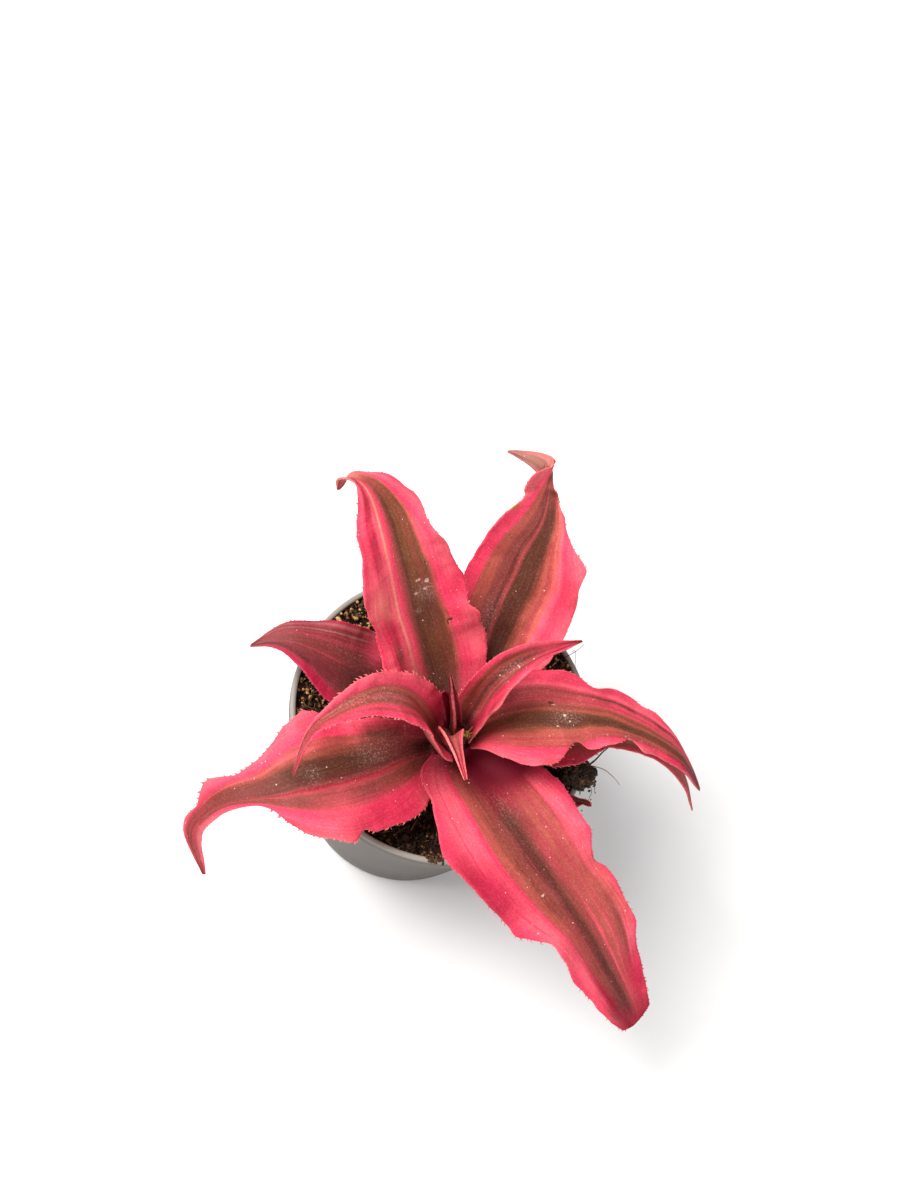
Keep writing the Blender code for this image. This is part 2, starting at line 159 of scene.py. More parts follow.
# Spills of crumbs: centre, half width and depth, height, count and tone
SPILLS = [
    (10.4, -27.2, 45.8, 2.0, 1.3, 0.8, 40, 0.5),
    (5.2, -6.4, 56.5, 0.9, 0.8, 0.9, 24, 0.72),
    (30.2, 0.6, 47.6, 2.2, 2.2, 0.8, 40, 0.4),
]

# Camera: height above the horizon and roll in degrees, distance and aim in millimetres
CAMERA_HEIGHT = 62.5
CAMERA_ROLL = 27.0
CAMERA_DISTANCE = 336.0
CAMERA_AIM = (-9.0, 23.0, 46.0)

# Stage, in metres: half width of the floor, where the lights aim, and the place, size and colour of each
FLOOR_REACH = 2.5
LIGHT_AIM = (0, 0, 0.05)
LIGHTS = {
    "key": ((-0.42, -0.1, 0.62), 0.5, (1.0, 0.985, 0.96)),
    "fill": ((0.5, -0.35, 0.4), 0.6, (0.97, 0.985, 1.0)),
}

# Many patches are painted light and shade: lit and shaded ruffles, and shadows cast by other leaves.
# Each leaf runs from its base beside the stem to its tip. Places across it go from -1 at its left margin to
# 1 at its right one, and places along it from 0 at its base to 1 at its tip.
# grid: steps along and across the blade.
# rows: points of the midrib (x, y, z), the widths of the blade to its left and right, and how far it is
#   banked, left side up, and cupped, in degrees.
# blunt: share of the length over which the end is rounded off.
# ruffle: height, then the waves along the left margin and their start, and those along the right one.
# lobes: side (-1 left, 1 right), place along, change of the half width there, as a share, and spread.
# stripes: colours by place across.
# drift: how far the stripes lean to the right, by place along.
# heart: how far up the blade the painted shade over its base reaches, deep in the crowded rosette.
# flush: patches, as place across, place along, their two half widths, colour and strength.
# scurf: patches of pale scales, as place across, place along, their two half widths and strength.
# scars: marks, as place across, place along, their two half widths and colour; one is a painted shadow.
# rim: strength of the painted highlight, a pale line along the margin's edge.
# shade: painted shade, as the share of its brightness that a leaf in shadow keeps.
# belly: how far the underside turns pale.
# spines: size of the teeth, as a share.
PLAIN_LEAF = {
    "lobes": [], "drift": [(0, 0)], "patches_and_painted_light": [], "scurf": [], "scars_and_painted_shadow": [], "belly": 0.4, "spines": 1,
}
LEAVES = {
    "back_left": {
        "grid": (150, 44), "ruffle": (1.5, 2.44, 0.88, 3.4, 0.05), "heart": 0.3, "rim": 0.12,
        "spines": 0.75,
        "rows": [
            (0.6, -3.6, 49.9, 4.5, 4, 0, 38), (-6, 3, 54, 9.1, 11.5, -6, 14), (-11, 7, 60, 9.4, 12, -6, 12),
            (-15.5, 10.5, 66, 10.5, 10, -4, 10), (-20.5, 14, 71, 9, 9, 0, 8), (-26, 18, 75, 7, 7.2, 0, 5),
            (-31, 20.5, 77, 3.8, 4.1, 0, 5), (-35, 21.5, 75.7, 1.7, 1.9, 0, 10),
            (-36.9, 20.9, 74, 1.4, 1.3, 0, 15), (-37, 19.5, 72, 0.3, 0.3, 0, 10),
        ],
        "lobes": [
            (-1, 0.55, 0.15, 0.06), (-1, 0.38, -0.06, 0.04), (-1, 0.9, -0.25, 0.035),
            (1, 0.66, -0.25, 0.06), (1, 0.47, 0.06, 0.03), (1, 0.385, -0.16, 0.035), (1, 0.31, -0.07, 0.04),
            (1, 0.9, -0.2, 0.03),
        ],
        "stripes": [
            (-1, "pink"), (-0.86, "light pink"), (-0.76, "pink"), (-0.71, "deep pink"), (-0.66, "rose"),
            (-0.6, "deep pink"), (-0.5, "light pink"), (-0.45, "light pink"), (-0.42, "pale"),
            (-0.38, "pale"), (-0.35, "light pink"), (-0.27, "pink"), (-0.2, "rose"), (-0.14, "mauve"),
            (-0.05, "dark"), (0.04, "olive"), (0.14, "olive"), (0.22, "brown"), (0.3, "olive"),
            (0.37, "olive"), (0.43, "rust"), (0.49, "pink"), (0.6, "pink"), (0.8, "light pink"),
            (1, "pink"),
        ],
        "drift": [(0, 0.14), (0.2, 0.08), (0.4, 0), (0.75, 0.02), (1, 0)],
        "patches_and_painted_light": [
            (-0.88, 0.68, 0.48, 0.14, "deep pink", 0.6), (-0.78, 0.5, 0.48, 0.12, "light pink", 1),
            (-0.72, 0.47, 0.34, 0.1, "pale", 0.5), (-0.5, 0.25, 0.2, 0.12, "light pink", 0.9),
            (-0.5, 0.57, 0.2, 0.1, "light pink", 0.8), (0.5, 0.65, 0.2, 0.1, "light pink", 0.7),
            (-0.75, 0.34, 0.56, 0.08, "deep pink", 0.7), (-0.65, 0.27, 0.18, 0.09, "mauve", 0.8),
            (0.8, 0.44, 0.64, 0.09, "deep pink", 0.9), (0.85, 0.57, 0.48, 0.08, "light pink", 0.8),
            (0.75, 0.28, 0.5, 0.09, "light pink", 0.9), (0.8, 0.14, 0.8, 0.1, "deep pink", 0.7),
            (0.2, 0.42, 0.3, 0.12, "dark", 0.9), (0, 0.12, 0.6, 0.18, "dark", 1),
            (0.1, 0.35, 0.3, 0.1, "dark", 0.6), (0, 0.9, 0.5, 0.15, "rose", 0.7),
            (0, 0.95, 1.8, 0.1, "pale", 0.5),
        ],
        "scurf": [(0.2, 0.46, 0.3, 0.05, 0.8), (0, 0.4, 0.12, 0.015, 0.7)],
        "scars_and_painted_shadow": [
            (0.46, 0.343, 0.06, 0.008, "withered"), (0.41, 0.333, 0.018, 0.014, "withered"),
            (0.12, 0.502, 0.09, 0.006, "scales"), (0.3, 0.49, 0.07, 0.008, "scales"),
            (0.02, 0.462, 0.05, 0.006, "scales"), (0.22, 0.468, 0.06, 0.005, "scales"),
        ],
    },
    "back_right": {
        "grid": (170, 44), "ruffle": (1.4, 3, 0.3, 3.4, 0.2), "heart": 0.3, "rim": 0.15, "belly": 0.5,
        "spines": 0.7,
        "rows": [
            (2.8, -2.1, 47, 4, 3.6, 0, 35), (2, 14, 51, 8, 11, -8, 10), (1, 20, 57, 9.5, 13, -8, 8),
            (0.5, 26, 64, 9.5, 13, -6, 8), (-0.5, 31.5, 70, 8, 7.4, 0, 5), (-2.1, 36.9, 74, 5, 3.4, 11, 13),
            (-2.7, 38.4, 76.3, 3.4, 1.8, 9, 31), (-2.7, 41.4, 77.1, 1.8, 0.4, 76, 5),
            (-3.9, 41.7, 76.9, 1.9, 1.9, 136, 9), (-4.8, 42.1, 77, 1.8, 2.5, 157, 5),
            (-8, 42, 76.5, 1.5, 1.3, 134, 2), (-12, 42.6, 74.3, 0.3, 0.3, 139, 10),
        ],
        "lobes": [
            (-1, 0.745, -0.3, 0.035), (-1, 0.795, 0.2, 0.02), (1, 0.715, 0.1, 0.014),
            (1, 0.675, -0.05, 0.016), (1, 0.605, 0.19, 0.03), (1, 0.52, -0.06, 0.05),
        ],
        "stripes": [
            (-1, "pink"), (-0.8, "pink"), (-0.73, "pink"), (-0.67, "rust"), (-0.5, "rust"),
            (-0.36, "mauve"), (-0.25, "mauve"), (-0.19, "dark mauve"), (-0.13, "mauve"), (-0.09, "rose"),
            (-0.05, "mauve"), (0, "dark"), (0.24, "dark"), (0.31, "brown"), (0.38, "rust"), (0.45, "rose"),
            (0.52, "orange"), (0.6, "light pink"), (0.7, "pink"), (1, "light pink"),
        ],
        "drift": [
            (0, 0), (0.56, 0), (0.62, 0.06), (0.68, 0.24), (0.75, 0.44), (0.8, 0.58), (0.84, 0.55),
            (0.9, 0.2), (1, 0.1),
        ],
        "patches_and_painted_light": [
            (-1.35, 0.82, 0.7, 0.16, "grey pink", 0.45), (-0.95, 0.55, 0.32, 0.13, "deep pink", 0.5),
            (0.9, 0.5, 0.48, 0.08, "deep pink", 0.35), (0.13, 0.81, 0.36, 0.16, "mauve", 0.9),
            (0.1, 0.36, 0.4, 0.16, "withered", 0.55), (0.8, 0.94, 0.7, 0.1, "dark mauve", 1),
            (-0.2, 0.9, 0.5, 0.06, "olive", 0.5),
        ],
        "scurf": [(-0.25, 0.35, 0.3, 0.12, 0.6)],
        "scars_and_painted_shadow": [(-1.18, 0.715, 0.2, 0.016, "scab")],
    },
    "right": {
        "grid": (150, 44), "ruffle": (1.3, 3, 0.1, 3, 0.5), "heart": 0.04, "rim": 0.15, "spines": 0.7,
        "rows": [
            (6.4, -4, 52.1, 4, 4.5, 0, 40), (9, -1, 55.4, 7.5, 7.5, 0, 15), (13.5, 2, 58.5, 9, 11, 0, 10),
            (19, 4.5, 60.5, 8.5, 10.5, 0, 5), (25, 7.5, 60.5, 6.6, 7, 0, 5), (32.5, 9.7, 58.5, 7, 4, 0, 0),
            (39.7, 11, 55.2, 5.3, 2.4, 0, -10), (46.3, 11.5, 51.5, 4, 1.7, 0, -10),
            (52.2, 10.6, 46, 0.3, 0.3, 0, 0),
        ],
        "lobes": [
            (-1, 0.43, -0.24, 0.05), (-1, 0.63, -0.11, 0.035), (1, 0.365, -0.4, 0.045),
            (1, 0.59, -0.35, 0.04), (1, 0.67, 0.15, 0.03),
        ],
        "stripes": [
            (-1, "pink"), (-0.8, "pink"), (-0.72, "light pink"), (-0.66, "pink"), (-0.62, "mauve"),
            (-0.58, "dark mauve"), (-0.54, "rose"), (-0.48, "pink"), (-0.42, "rose"), (-0.36, "pink"),
            (-0.3, "rust"), (-0.22, "brown"), (-0.14, "rust"), (-0.06, "olive"), (0.04, "dark"),
            (0.14, "dark"), (0.22, "olive"), (0.3, "rust"), (0.38, "rust"), (0.46, "rose"), (0.52, "rust"),
            (0.6, "rose"), (0.68, "pink"), (1, "light pink"),
        ],
        "drift": [
            (0, 0.05), (0.25, 0.02), (0.4, 0.1), (0.5, 0.04), (0.6, 0.05), (0.7, -0.06), (0.85, -0.22),
            (1, -0.2),
        ],
        "patches_and_painted_light": [
            (-0.5, 0.08, 0.3, 0.44, "rust", 1), (-0.45, 0.32, 0.3, 0.2, "rose", 0.9),
            (-0.4, 0.4, 0.2, 0.12, "rose", 0.6), (-0.85, 0.65, 0.45, 0.11, "light pink", 0.6),
            (-0.65, 0.14, 0.9, 0.15, "wine", 1), (0.1, 0.1, 0.3, 0.2, "olive", 0.9),
            (0.15, 0.72, 0.24, 0.18, "brown", 0.8), (0.9, 0.84, 0.7, 0.2, "deep pink", 0.9),
            (0.98, 0.32, 0.2, 0.09, "crimson", 0.6), (0.5, 0.06, 0.6, 0.14, "light pink", 0.5),
            (0.05, 0.36, 0.3, 0.12, "dark", 0.6), (0, 1, 2.4, 0.2, "wine", 0.9),
            (-0.4, 0.85, 0.5, 0.1, "pink", 0.5),
        ],
        "scurf": [(0, 0.34, 0.35, 0.08, 0.6)],
        "scars_and_painted_shadow": [
            (-0.02, 0.335, 0.045, 0.008, "flake"), (0.1, 0.35, 0.03, 0.006, "flake"),
            (0.2, 0.31, 0.025, 0.006, "flake"), (-0.28, 0.29, 0.05, 0.018, "dark"),
            (-0.24, 0.3, 0.012, 0.014, "flake"),
        ],
    },
    "right_low": {
        "grid": (130, 30), "ruffle": (0.3, 3, 0, 3, 0.5), "heart": 0.3, "rim": 0.3,
        "rows": [
            (6.7, -4, 46.2, 2.3, 2.3, 0, 20), (13.5, -0.5, 48.5, 6, 5.5, 0, 6), (20, 3.5, 50.4, 6, 5, 0, 0),
            (26, 7, 51, 5, 4.8, 0, 0), (32, 10.5, 49.8, 3.5, 2.4, 0, 0), (40, 14, 46, 2.5, 2, 0, 0),
            (46, 15, 42, 1.8, 1.8, 0, 0), (51, 14, 38, 1.2, 1.2, 0, 0), (55, 12, 33, 0.3, 0.3, 0, 0),
        ],
        "lobes": [(1, 0.3, 0.22, 0.06), (1, 0.46, -0.2, 0.06)],
        "stripes": [
            (-1, "deep pink"), (-0.7, "rose"), (-0.3, "rust"), (0, "mauve"), (0.3, "rust"), (0.7, "rose"),
            (1, "deep pink"),
        ],
        "patches_and_painted_light": [
            (0, 0.2, 3, 0.3, "crimson", 1), (-0.3, 0.55, 1.2, 0.09, "grey pink", 0.6),
            (0, 1, 2, 0.14, "crimson", 0.9),
        ],
    },
    "right_back_low": {
        "grid": (80, 24), "ruffle": (0.3, 2, 0, 2, 0.5), "heart": 0.3, "rim": 0.2,
        "rows": [
            (4.2, -2.3, 44.6, 2.6, 2.4, 0, 20), (6, 6, 46.3, 6, 6, 0, 5), (8, 13, 47.6, 6, 6.5, 0, 0),
            (8.8, 19, 48.2, 4.5, 5, 0, 0), (8.5, 23.5, 47.9, 2.4, 2.4, 0, 0), (7.8, 27, 47, 0.3, 0.3, 0, 0),
        ],
        "stripes": [(-1, "deep pink"), (-0.5, "mauve"), (0, "brown"), (0.5, "mauve"), (1, "deep pink")],
    },
    "front_right_low": {
        "grid": (80, 24), "ruffle": (0.3, 2, 0, 2, 0.5), "heart": 0.3, "rim": 0,
        "rows": [
            (7, -7.2, 44.6, 1.7, 2.3, 0, 18), (10, -7.3, 45.5, 3, 3.2, 0, 10),
            (14, -7, 46.8, 4.2, 4.2, 0, 5), (22, -6.8, 48, 2.6, 3.2, 0, 5),
            (28, -5.4, 48.2, 1.2, 1.8, 0, 20), (31, -4.2, 47.8, 1, 1, 0, 35),
            (33.4, -3.4, 47, 0.3, 0.3, 0, 40),
        ],
        "lobes": [
            (-1, 0.74, -0.6, 0.06), (-1, 0.9, -0.5, 0.04), (1, 0.7, -0.45, 0.04), (1, 0.84, 0.3, 0.03),
            (1, 0.93, -0.5, 0.03),
        ],
        "stripes": [(-1, "crimson"), (-0.4, "withered"), (0.4, "withered"), (1, "crimson")],
    },
    "front": {
        "grid": (160, 48), "ruffle": (1.4, 3, 0.2, 3.6, 0.85), "heart": 0.16, "rim": 0.12, "blunt": 0.017,
        "shade": 0.95, "spines": 0.8,
        "rows": [
            (6.7, -7.9, 49.2, 5, 7, 0, 42), (10, -11, 51.7, 10, 11.5, -5, 12),
            (18, -17, 53.5, 13, 12, -2, 5), (25, -21.5, 54, 13.5, 12.5, 0, 0),
            (32.5, -25.5, 53, 13, 10, 0, 0), (40, -29, 51, 12, 6.3, 0, 0), (48, -32.5, 47, 9.5, 5, 0, -5),
            (54, -34.5, 43, 6.8, 4.3, 0, -5), (58.7, -35.8, 38.5, 4.2, 2.4, 0, 0),
        ],
        "lobes": [
            (1, 0.11, -0.1, 0.05), (-1, 0.49, -0.13, 0.04), (-1, 0.645, -0.09, 0.04),
            (-1, 0.945, -0.1, 0.03), (-1, 0.84, 0.04, 0.03), (-1, 0.19, 0.12, 0.08), (1, 0.61, -0.15, 0.03),
            (1, 0.74, 0.1, 0.04), (1, 0.53, 0.09, 0.02), (1, 0.25, 0.1, 0.06),
        ],
        "stripes": [
            (-1, "pink"), (-0.84, "light pink"), (-0.74, "light pink"), (-0.68, "rose"), (-0.6, "rust"),
            (-0.5, "rose"), (-0.4, "rust"), (-0.31, "rose"), (-0.24, "rose"), (-0.18, "mauve"),
            (-0.1, "dark"), (-0.02, "dark mauve"), (0.05, "mauve"), (0.1, "brown"), (0.15, "mauve"),
            (0.2, "brown"), (0.3, "rust"), (0.38, "rust"), (0.45, "pink"), (0.56, "light pink"),
            (0.71, "light pink"), (0.73, "pink"), (0.75, "light pink"), (1, "pink"),
        ],
        "drift": [(0, 0), (0.5, -0.02), (0.75, -0.04), (0.9, 0), (1, 0)],
        "patches_and_painted_light": [
            (0.35, 0, 0.5, 0.07, "wine", 0.9), (0.85, 0.38, 0.5, 0.16, "deep pink", 1),
            (0.8, 0.44, 0.6, 0.12, "deep pink", 0.6), (0.95, 0.34, 0.3, 0.18, "crimson", 0.6),
            (0.3, 0.84, 0.34, 0.2, "mauve", 0.85), (0.2, 0.93, 0.45, 0.16, "dark mauve", 0.9),
            (0.65, 0.92, 0.3, 0.09, "mauve", 0.9), (0.75, 0.85, 0.3, 0.08, "deep pink", 0.5),
            (0.45, 0.87, 0.26, 0.2, "crimson", 1), (0, 1, 2.4, 0.12, "crimson", 1),
            (-0.7, 0.6, 0.3, 0.2, "rust", 0.9), (-0.3, 0.56, 0.25, 0.14, "brown", 0.6),
            (-0.2, 0.78, 0.09, 0.3, "mauve", 0.8), (-0.31, 0.76, 0.06, 0.34, "light pink", 0.6),
            (-0.46, 0.76, 0.05, 0.3, "light pink", 0.4), (-0.66, 0.7, 0.14, 0.2, "mauve", 1),
            (-0.75, 0.88, 0.6, 0.14, "deep pink", 1), (-0.8, 0.98, 0.7, 0.08, "crimson", 0.7),
            (0.85, 0.66, 0.5, 0.12, "light pink", 0.6), (-0.8, 0.4, 0.3, 0.12, "light pink", 0.5),
            (0.25, 0.66, 0.4, 0.12, "rose", 0.5), (-0.15, 0.25, 0.36, 0.14, "dark", 0.6),
            (-0.3, 0.15, 0.7, 0.12, "crimson", 0.7),
        ],
        "scurf": [(-0.15, 0.22, 0.25, 0.1, 0.3)],
        "scars_and_painted_shadow": [
            # The first mark is a painted shadow over the base, cast by the leaves above it.
            (-0.6, 0, 1.3, 0.27, "wine"), (0.2, 0.492, 0.045, 0.004, "dark"),
            (0.18, 0.485, 0.05, 0.004, "flake"),
        ],
    },
    "front_left": {
        "grid": (170, 46), "ruffle": (1.4, 3.4, 0.85, 3, 0.1), "heart": 0.2, "rim": 0.12,
        "rows": [
            (1.2, -8.8, 47.3, 4.5, 4.5, 0, 34), (-3, -14, 50.5, 9, 8, -6, 10),
            (-7, -20, 53.5, 11.5, 11, -4, 5), (-13, -26.5, 56, 12, 13, 0, 0),
            (-18.5, -31, 55.5, 7.6, 12, 0, 0), (-23.5, -34.3, 53, 2.6, 7.6, 0, 0),
            (-28, -36.8, 50, 1.5, 5.4, 0, 0), (-31, -39.5, 46, 1.7, 3, -20, 0),
            (-32, -42.5, 40, 1.8, 1.8, -50, 0), (-27, -46, 32, 0.3, 0.3, -60, 0),
        ],
        "lobes": [
            (-1, 0.58, -0.36, 0.06), (-1, 0.47, 0.06, 0.02), (-1, 0.32, -0.17, 0.03),
            (-1, 0.26, -0.1, 0.05), (1, 0.64, -0.2, 0.03), (1, 0.705, 0.25, 0.025), (1, 0.755, -0.2, 0.025),
            (1, 0.41, 0.08, 0.05),
        ],
        "stripes": [
            (-1, "light pink"), (-0.6, "pink"), (-0.5, "pink"), (-0.45, "rose"), (-0.38, "mauve"),
            (-0.28, "mauve"), (-0.18, "mauve"), (-0.11, "rose"), (-0.06, "crimson"), (-0.02, "mauve"),
            (0.05, "dark mauve"), (0.12, "dark"), (0.32, "dark"), (0.42, "brown"), (0.49, "rust"),
            (0.54, "light pink"), (0.6, "rust"), (0.68, "pink"), (1, "light pink"),
        ],
        "drift": [(0, 0.06), (0.3, 0.02), (0.55, -0.04), (0.75, 0.05), (1, 0.1)],
        "patches_and_painted_light": [
            (-0.9, 0.2, 0.72, 0.13, "deep pink", 0.9), (-0.6, 0.36, 0.64, 0.1, "light pink", 0.6),
            (0.8, 0.1, 0.96, 0.16, "crimson", 0.9), (0.6, 0.16, 0.4, 0.14, "dark", 0.9),
            (0.52, 0.33, 0.2, 0.16, "brown", 0.95), (-0.3, 0.12, 0.35, 0.16, "brown", 0.7),
            (0.2, 0.62, 0.6, 0.18, "mauve", 0.7), (-0.95, 0.55, 0.24, 0.2, "crimson", 0.8),
            (0.9, 0.35, 0.48, 0.1, "deep pink", 0.8), (-0.5, 0.84, 0.6, 0.1, "deep pink", 0.7),
            (0.35, 0.8, 0.45, 0.17, "rose", 1), (-0.8, 0.84, 0.7, 0.16, "grey pink", 0.5),
            (-0.2, 0.96, 1.2, 0.1, "rose", 0.8), (0.95, 0.96, 0.5, 0.1, "crimson", 0.9),
            (-0.8, 0.26, 0.6, 0.16, "deep pink", 0.8),
        ],
        "scurf": [(0.3, 0.2, 0.4, 0.13, 0.6), (0.15, 0.42, 0.25, 0.05, 0.4)],
    },
    "left": {
        "grid": (130, 40), "ruffle": (0.9, 3, 0.1, 3, 0.5), "heart": 0.25, "rim": 0.12, "shade": 0.72,
        "spines": 0.8,
        "rows": [
            (-0.7, -6, 45.2, 3.5, 3.5, 0, 25), (-11, -1.5, 49, 8, 8.5, 0, 6), (-16, -2, 52, 8.5, 8.4, 0, 4),
            (-22, -3.5, 55, 8, 7.1, 0, 4), (-27, -4.5, 56.5, 5.5, 6, 0, 4), (-32, -5.5, 56.8, 3, 4.5, 0, 0),
            (-35.5, -6.5, 55, 1.3, 3.3, 0, 0), (-39, -7.5, 50.6, 0.3, 0.3, 0, 0),
        ],
        "lobes": [(-1, 0.66, 0.15, 0.12), (1, 0.86, -0.05, 0.05)],
        "stripes": [
            (-1, "deep pink"), (-0.88, "deep pink"), (-0.78, "rose"), (-0.64, "mauve"), (-0.3, "mauve"),
            (-0.12, "brown"), (-0.06, "rose"), (0, "brown"), (0.3, "brown"), (0.44, "rose"), (0.5, "brown"),
            (0.56, "rose"), (0.62, "brown"), (0.68, "grey pink"), (0.74, "brown"), (0.82, "rose"),
            (0.88, "grey pink"), (0.94, "rose"), (1, "deep pink"),
        ],
        "patches_and_painted_light": [
            (-0.4, 0.44, 1, 0.2, "dark", 1), (0.6, 0.39, 0.6, 0.1, "light pink", 1),
            (0, 0.9, 2, 0.26, "grey pink", 0.3),
        ],
        "scurf": [(0.2, 0.5, 0.6, 0.25, 0.25)],
    },
    "inner_left": {
        "grid": (150, 40), "ruffle": (0.7, 3, 0, 3, 0.5), "heart": 0.03, "rim": 0.15, "spines": 1.1,
        "rows": [
            (0.9, -7.4, 51.4, 5, 3.6, -16, 44), (-2.5, -8.2, 58.2, 8.8, 6, -16, 30),
            (-6.5, -9, 65, 6.8, 5.2, 0, 20), (-11, -11.5, 69.5, 6, 4.1, 0, 10),
            (-14.5, -15.5, 72, 3.7, 3.2, 0, 5), (-17.5, -20, 72, 2.2, 2.2, 0, 0),
            (-20, -24, 70, 1.2, 1.2, 0, 0), (-20.5, -27, 66, 0.8, 0.8, 0, 0),
            (-20, -29.5, 58, 0.3, 0.3, 0, 0),
        ],
        "stripes": [
            (-1, "pink"), (-0.8, "pink"), (-0.66, "rose"), (-0.5, "pink"), (-0.38, "rose"),
            (-0.26, "brown"), (-0.1, "rose"), (0.1, "brown"), (0.26, "rust"), (0.4, "rose"), (0.5, "pink"),
            (1, "light pink"),
        ],
        "patches_and_painted_light": [
            (0.8, 0.12, 0.6, 0.16, "deep pink", 0.9), (-0.6, 0.2, 0.5, 0.12, "rose", 0.6),
            (0, 0.95, 1.4, 0.3, "rose", 0.5), (0.8, 0.93, 0.8, 0.15, "light pink", 0.9),
            (0.3, 0.6, 0.2, 0.12, "mauve", 0.6), (0.6, 0.45, 0.3, 0.1, "light pink", 0.6),
            (-0.8, 0.88, 0.4, 0.12, "deep pink", 0.6),
        ],
        "scurf": [(-0.1, 0.45, 0.6, 0.2, 0.7), (0.2, 0.62, 0.4, 0.12, 0.5)],
    },
    "inner_right": {
        "grid": (120, 36), "ruffle": (0.6, 2, 0, 2, 0.5), "heart": 0.15, "rim": 0.12, "spines": 0.7,
        "rows": [
            (4.5, -3.7, 54, 3.2, 4, 0, 46), (4.7, -1.8, 59, 4.1, 4.6, 0, 44), (5, 0.8, 64.5, 4, 4.4, 0, 40),
            (6.8, 4, 69, 3.6, 3.4, 0, 36), (9.5, 7.5, 71, 2.5, 2, 0, 32), (13, 11.5, 71, 1.3, 1, 0, 30),
            (16.6, 16, 69, 0.12, 0.12, 0, 20),
        ],
        "lobes": [(1, 0.36, 0.25, 0.07), (1, 0.77, -0.25, 0.05)],
        "stripes": [
            (-1, "pink"), (-0.86, "pink"), (-0.72, "rose"), (-0.56, "brown"), (-0.4, "rust"),
            (-0.26, "mauve"), (-0.18, "dark mauve"), (-0.06, "dark mauve"), (0.02, "mauve"), (0.1, "mauve"),
            (0.2, "rose"), (0.28, "mauve"), (0.36, "mauve"), (0.44, "rose"), (0.52, "deep pink"),
            (0.7, "pink"), (1, "light pink"),
        ],
        "patches_and_painted_light": [
            (-0.95, 0.28, 0.5, 0.24, "crimson", 0.8), (0.95, 0.35, 0.4, 0.25, "crimson", 0.7),
            (0.95, 0.7, 0.3, 0.16, "crimson", 0.8), (-0.75, 0.76, 0.6, 0.2, "light pink", 0.9),
            (0, 0.84, 2, 0.24, "pink", 0.65), (0.4, 0.08, 0.4, 0.2, "deep pink", 0.7),
            (-0.6, 0.12, 0.6, 0.25, "brown", 0.8), (0.1, 0.38, 0.5, 0.16, "dark mauve", 0.4),
            (0, 1, 2.4, 0.08, "crimson", 0.9),
        ],
        "scurf": [(0, 0.5, 0.6, 0.14, 0.5)],
        "scars_and_painted_shadow": [(0.15, 0.56, 0.2, 0.005, "flake"), (-0.1, 0.44, 0.05, 0.008, "flake")],
    },
    "heart_front": {
        "grid": (70, 20), "ruffle": (0, 1, 0, 1, 0), "heart": 0.12, "rim": 0.6, "belly": 0.15,
        "spines": 0.5,
        "rows": [
            (2.9, -8.3, 54.4, 1.9, 1.8, 0, 46), (2.4, -9.4, 59.6, 2.8, 2.6, 0, 44),
            (3.1, -11.5, 63.2, 1.9, 1.6, 0, 40), (5.1, -14, 64.4, 0.9, 0.8, 0, 36),
            (8.3, -17.6, 64, 0.3, 0.3, 0, 40),
        ],
        "stripes": [
            (-1, "light pink"), (-0.86, "pink"), (-0.6, "rust"), (0, "rose"), (0.6, "rust"), (0.86, "pink"),
            (1, "light pink"),
        ],
        "patches_and_painted_light": [(0, 0.9, 2.24, 0.26, "pink", 0.6)],
        "scurf": [(0, 0.5, 0.8, 0.3, 0.4)],
    },
    "heart_spike": {
        "grid": (60, 18), "ruffle": (0, 1, 0, 1, 0), "heart": 0.6, "rim": 0.3, "belly": 0.02, "spines": 0.4,
        "rows": [
            (3, -6.1, 55.9, 1.9, 1.9, 0, 30), (1.4, -6.2, 63, 1.5, 1.4, 0, 30),
            (-0.6, -6.2, 69.5, 0.8, 0.8, 0, 35), (-2.9, -6, 76, 0.3, 0.3, 0, 60),
        ],
        "stripes": [
            (-1, "rose"), (-0.9, "crimson"), (-0.6, "wine"), (-0.2, "wine"), (0.4, "wine"),
            (0.85, "crimson"), (1, "crimson"),
        ],
    },
    "heart_back": {
        "grid": (50, 16), "ruffle": (0, 1, 0, 1, 0), "heart": 0.5, "rim": 0, "shade": 0.7, "belly": 0.1,
        "spines": 0.4,
        "rows": [
            (1.6, -5.3, 54.9, 1, 1, 0, 35), (0.1, -5.1, 59, 1.1, 1.5, 0, 35),
            (-1.1, -5, 62.5, 1.1, 1.8, 0, 35), (-2.5, -5.1, 65.5, 0.6, 0.7, 0, 35),
        ],
        "stripes": [(-1, "crimson"), (0, "crimson"), (1, "crimson")],
    },
}

# Colours of the leaves, as linear red, green and blue
COLOURS = {
    "light pink": (0.93, 0.12, 0.17),
    "pink": (0.82, 0.052, 0.12),
    "deep pink": (0.6, 0.02, 0.07),
    "pale": (0.98, 0.3, 0.24),
    "crimson": (0.36, 0.01, 0.035),
    "wine": (0.16, 0.004, 0.016),
    "mauve": (0.26, 0.05, 0.044),
    "dark mauve": (0.14, 0.024, 0.022),
    "dark": (0.105, 0.03, 0.017),
    "olive": (0.185, 0.057, 0.024),
    "brown": (0.25, 0.052, 0.033),
    "rust": (0.45, 0.088, 0.068),
    "rose": (0.45, 0.06, 0.068),
    "scab": (0.34, 0.12, 0.035),
    "flake": (0.66, 0.46, 0.34),
    "orange": (0.62, 0.12, 0.09),
    "grey pink": (0.46, 0.2, 0.155),
    "withered": (0.085, 0.018, 0.012),
    "scales": (0.5, 0.31, 0.26),
    "speck": (0.88, 0.74, 0.68),
    "spine tip": (0.3, 0.06, 0.03),
    # Multiplied over the base of each leaf as painted shade
    "heart": (0.3, 0.16, 0.2),
    "belly streak": (0.72, 0.46, 0.4),
}

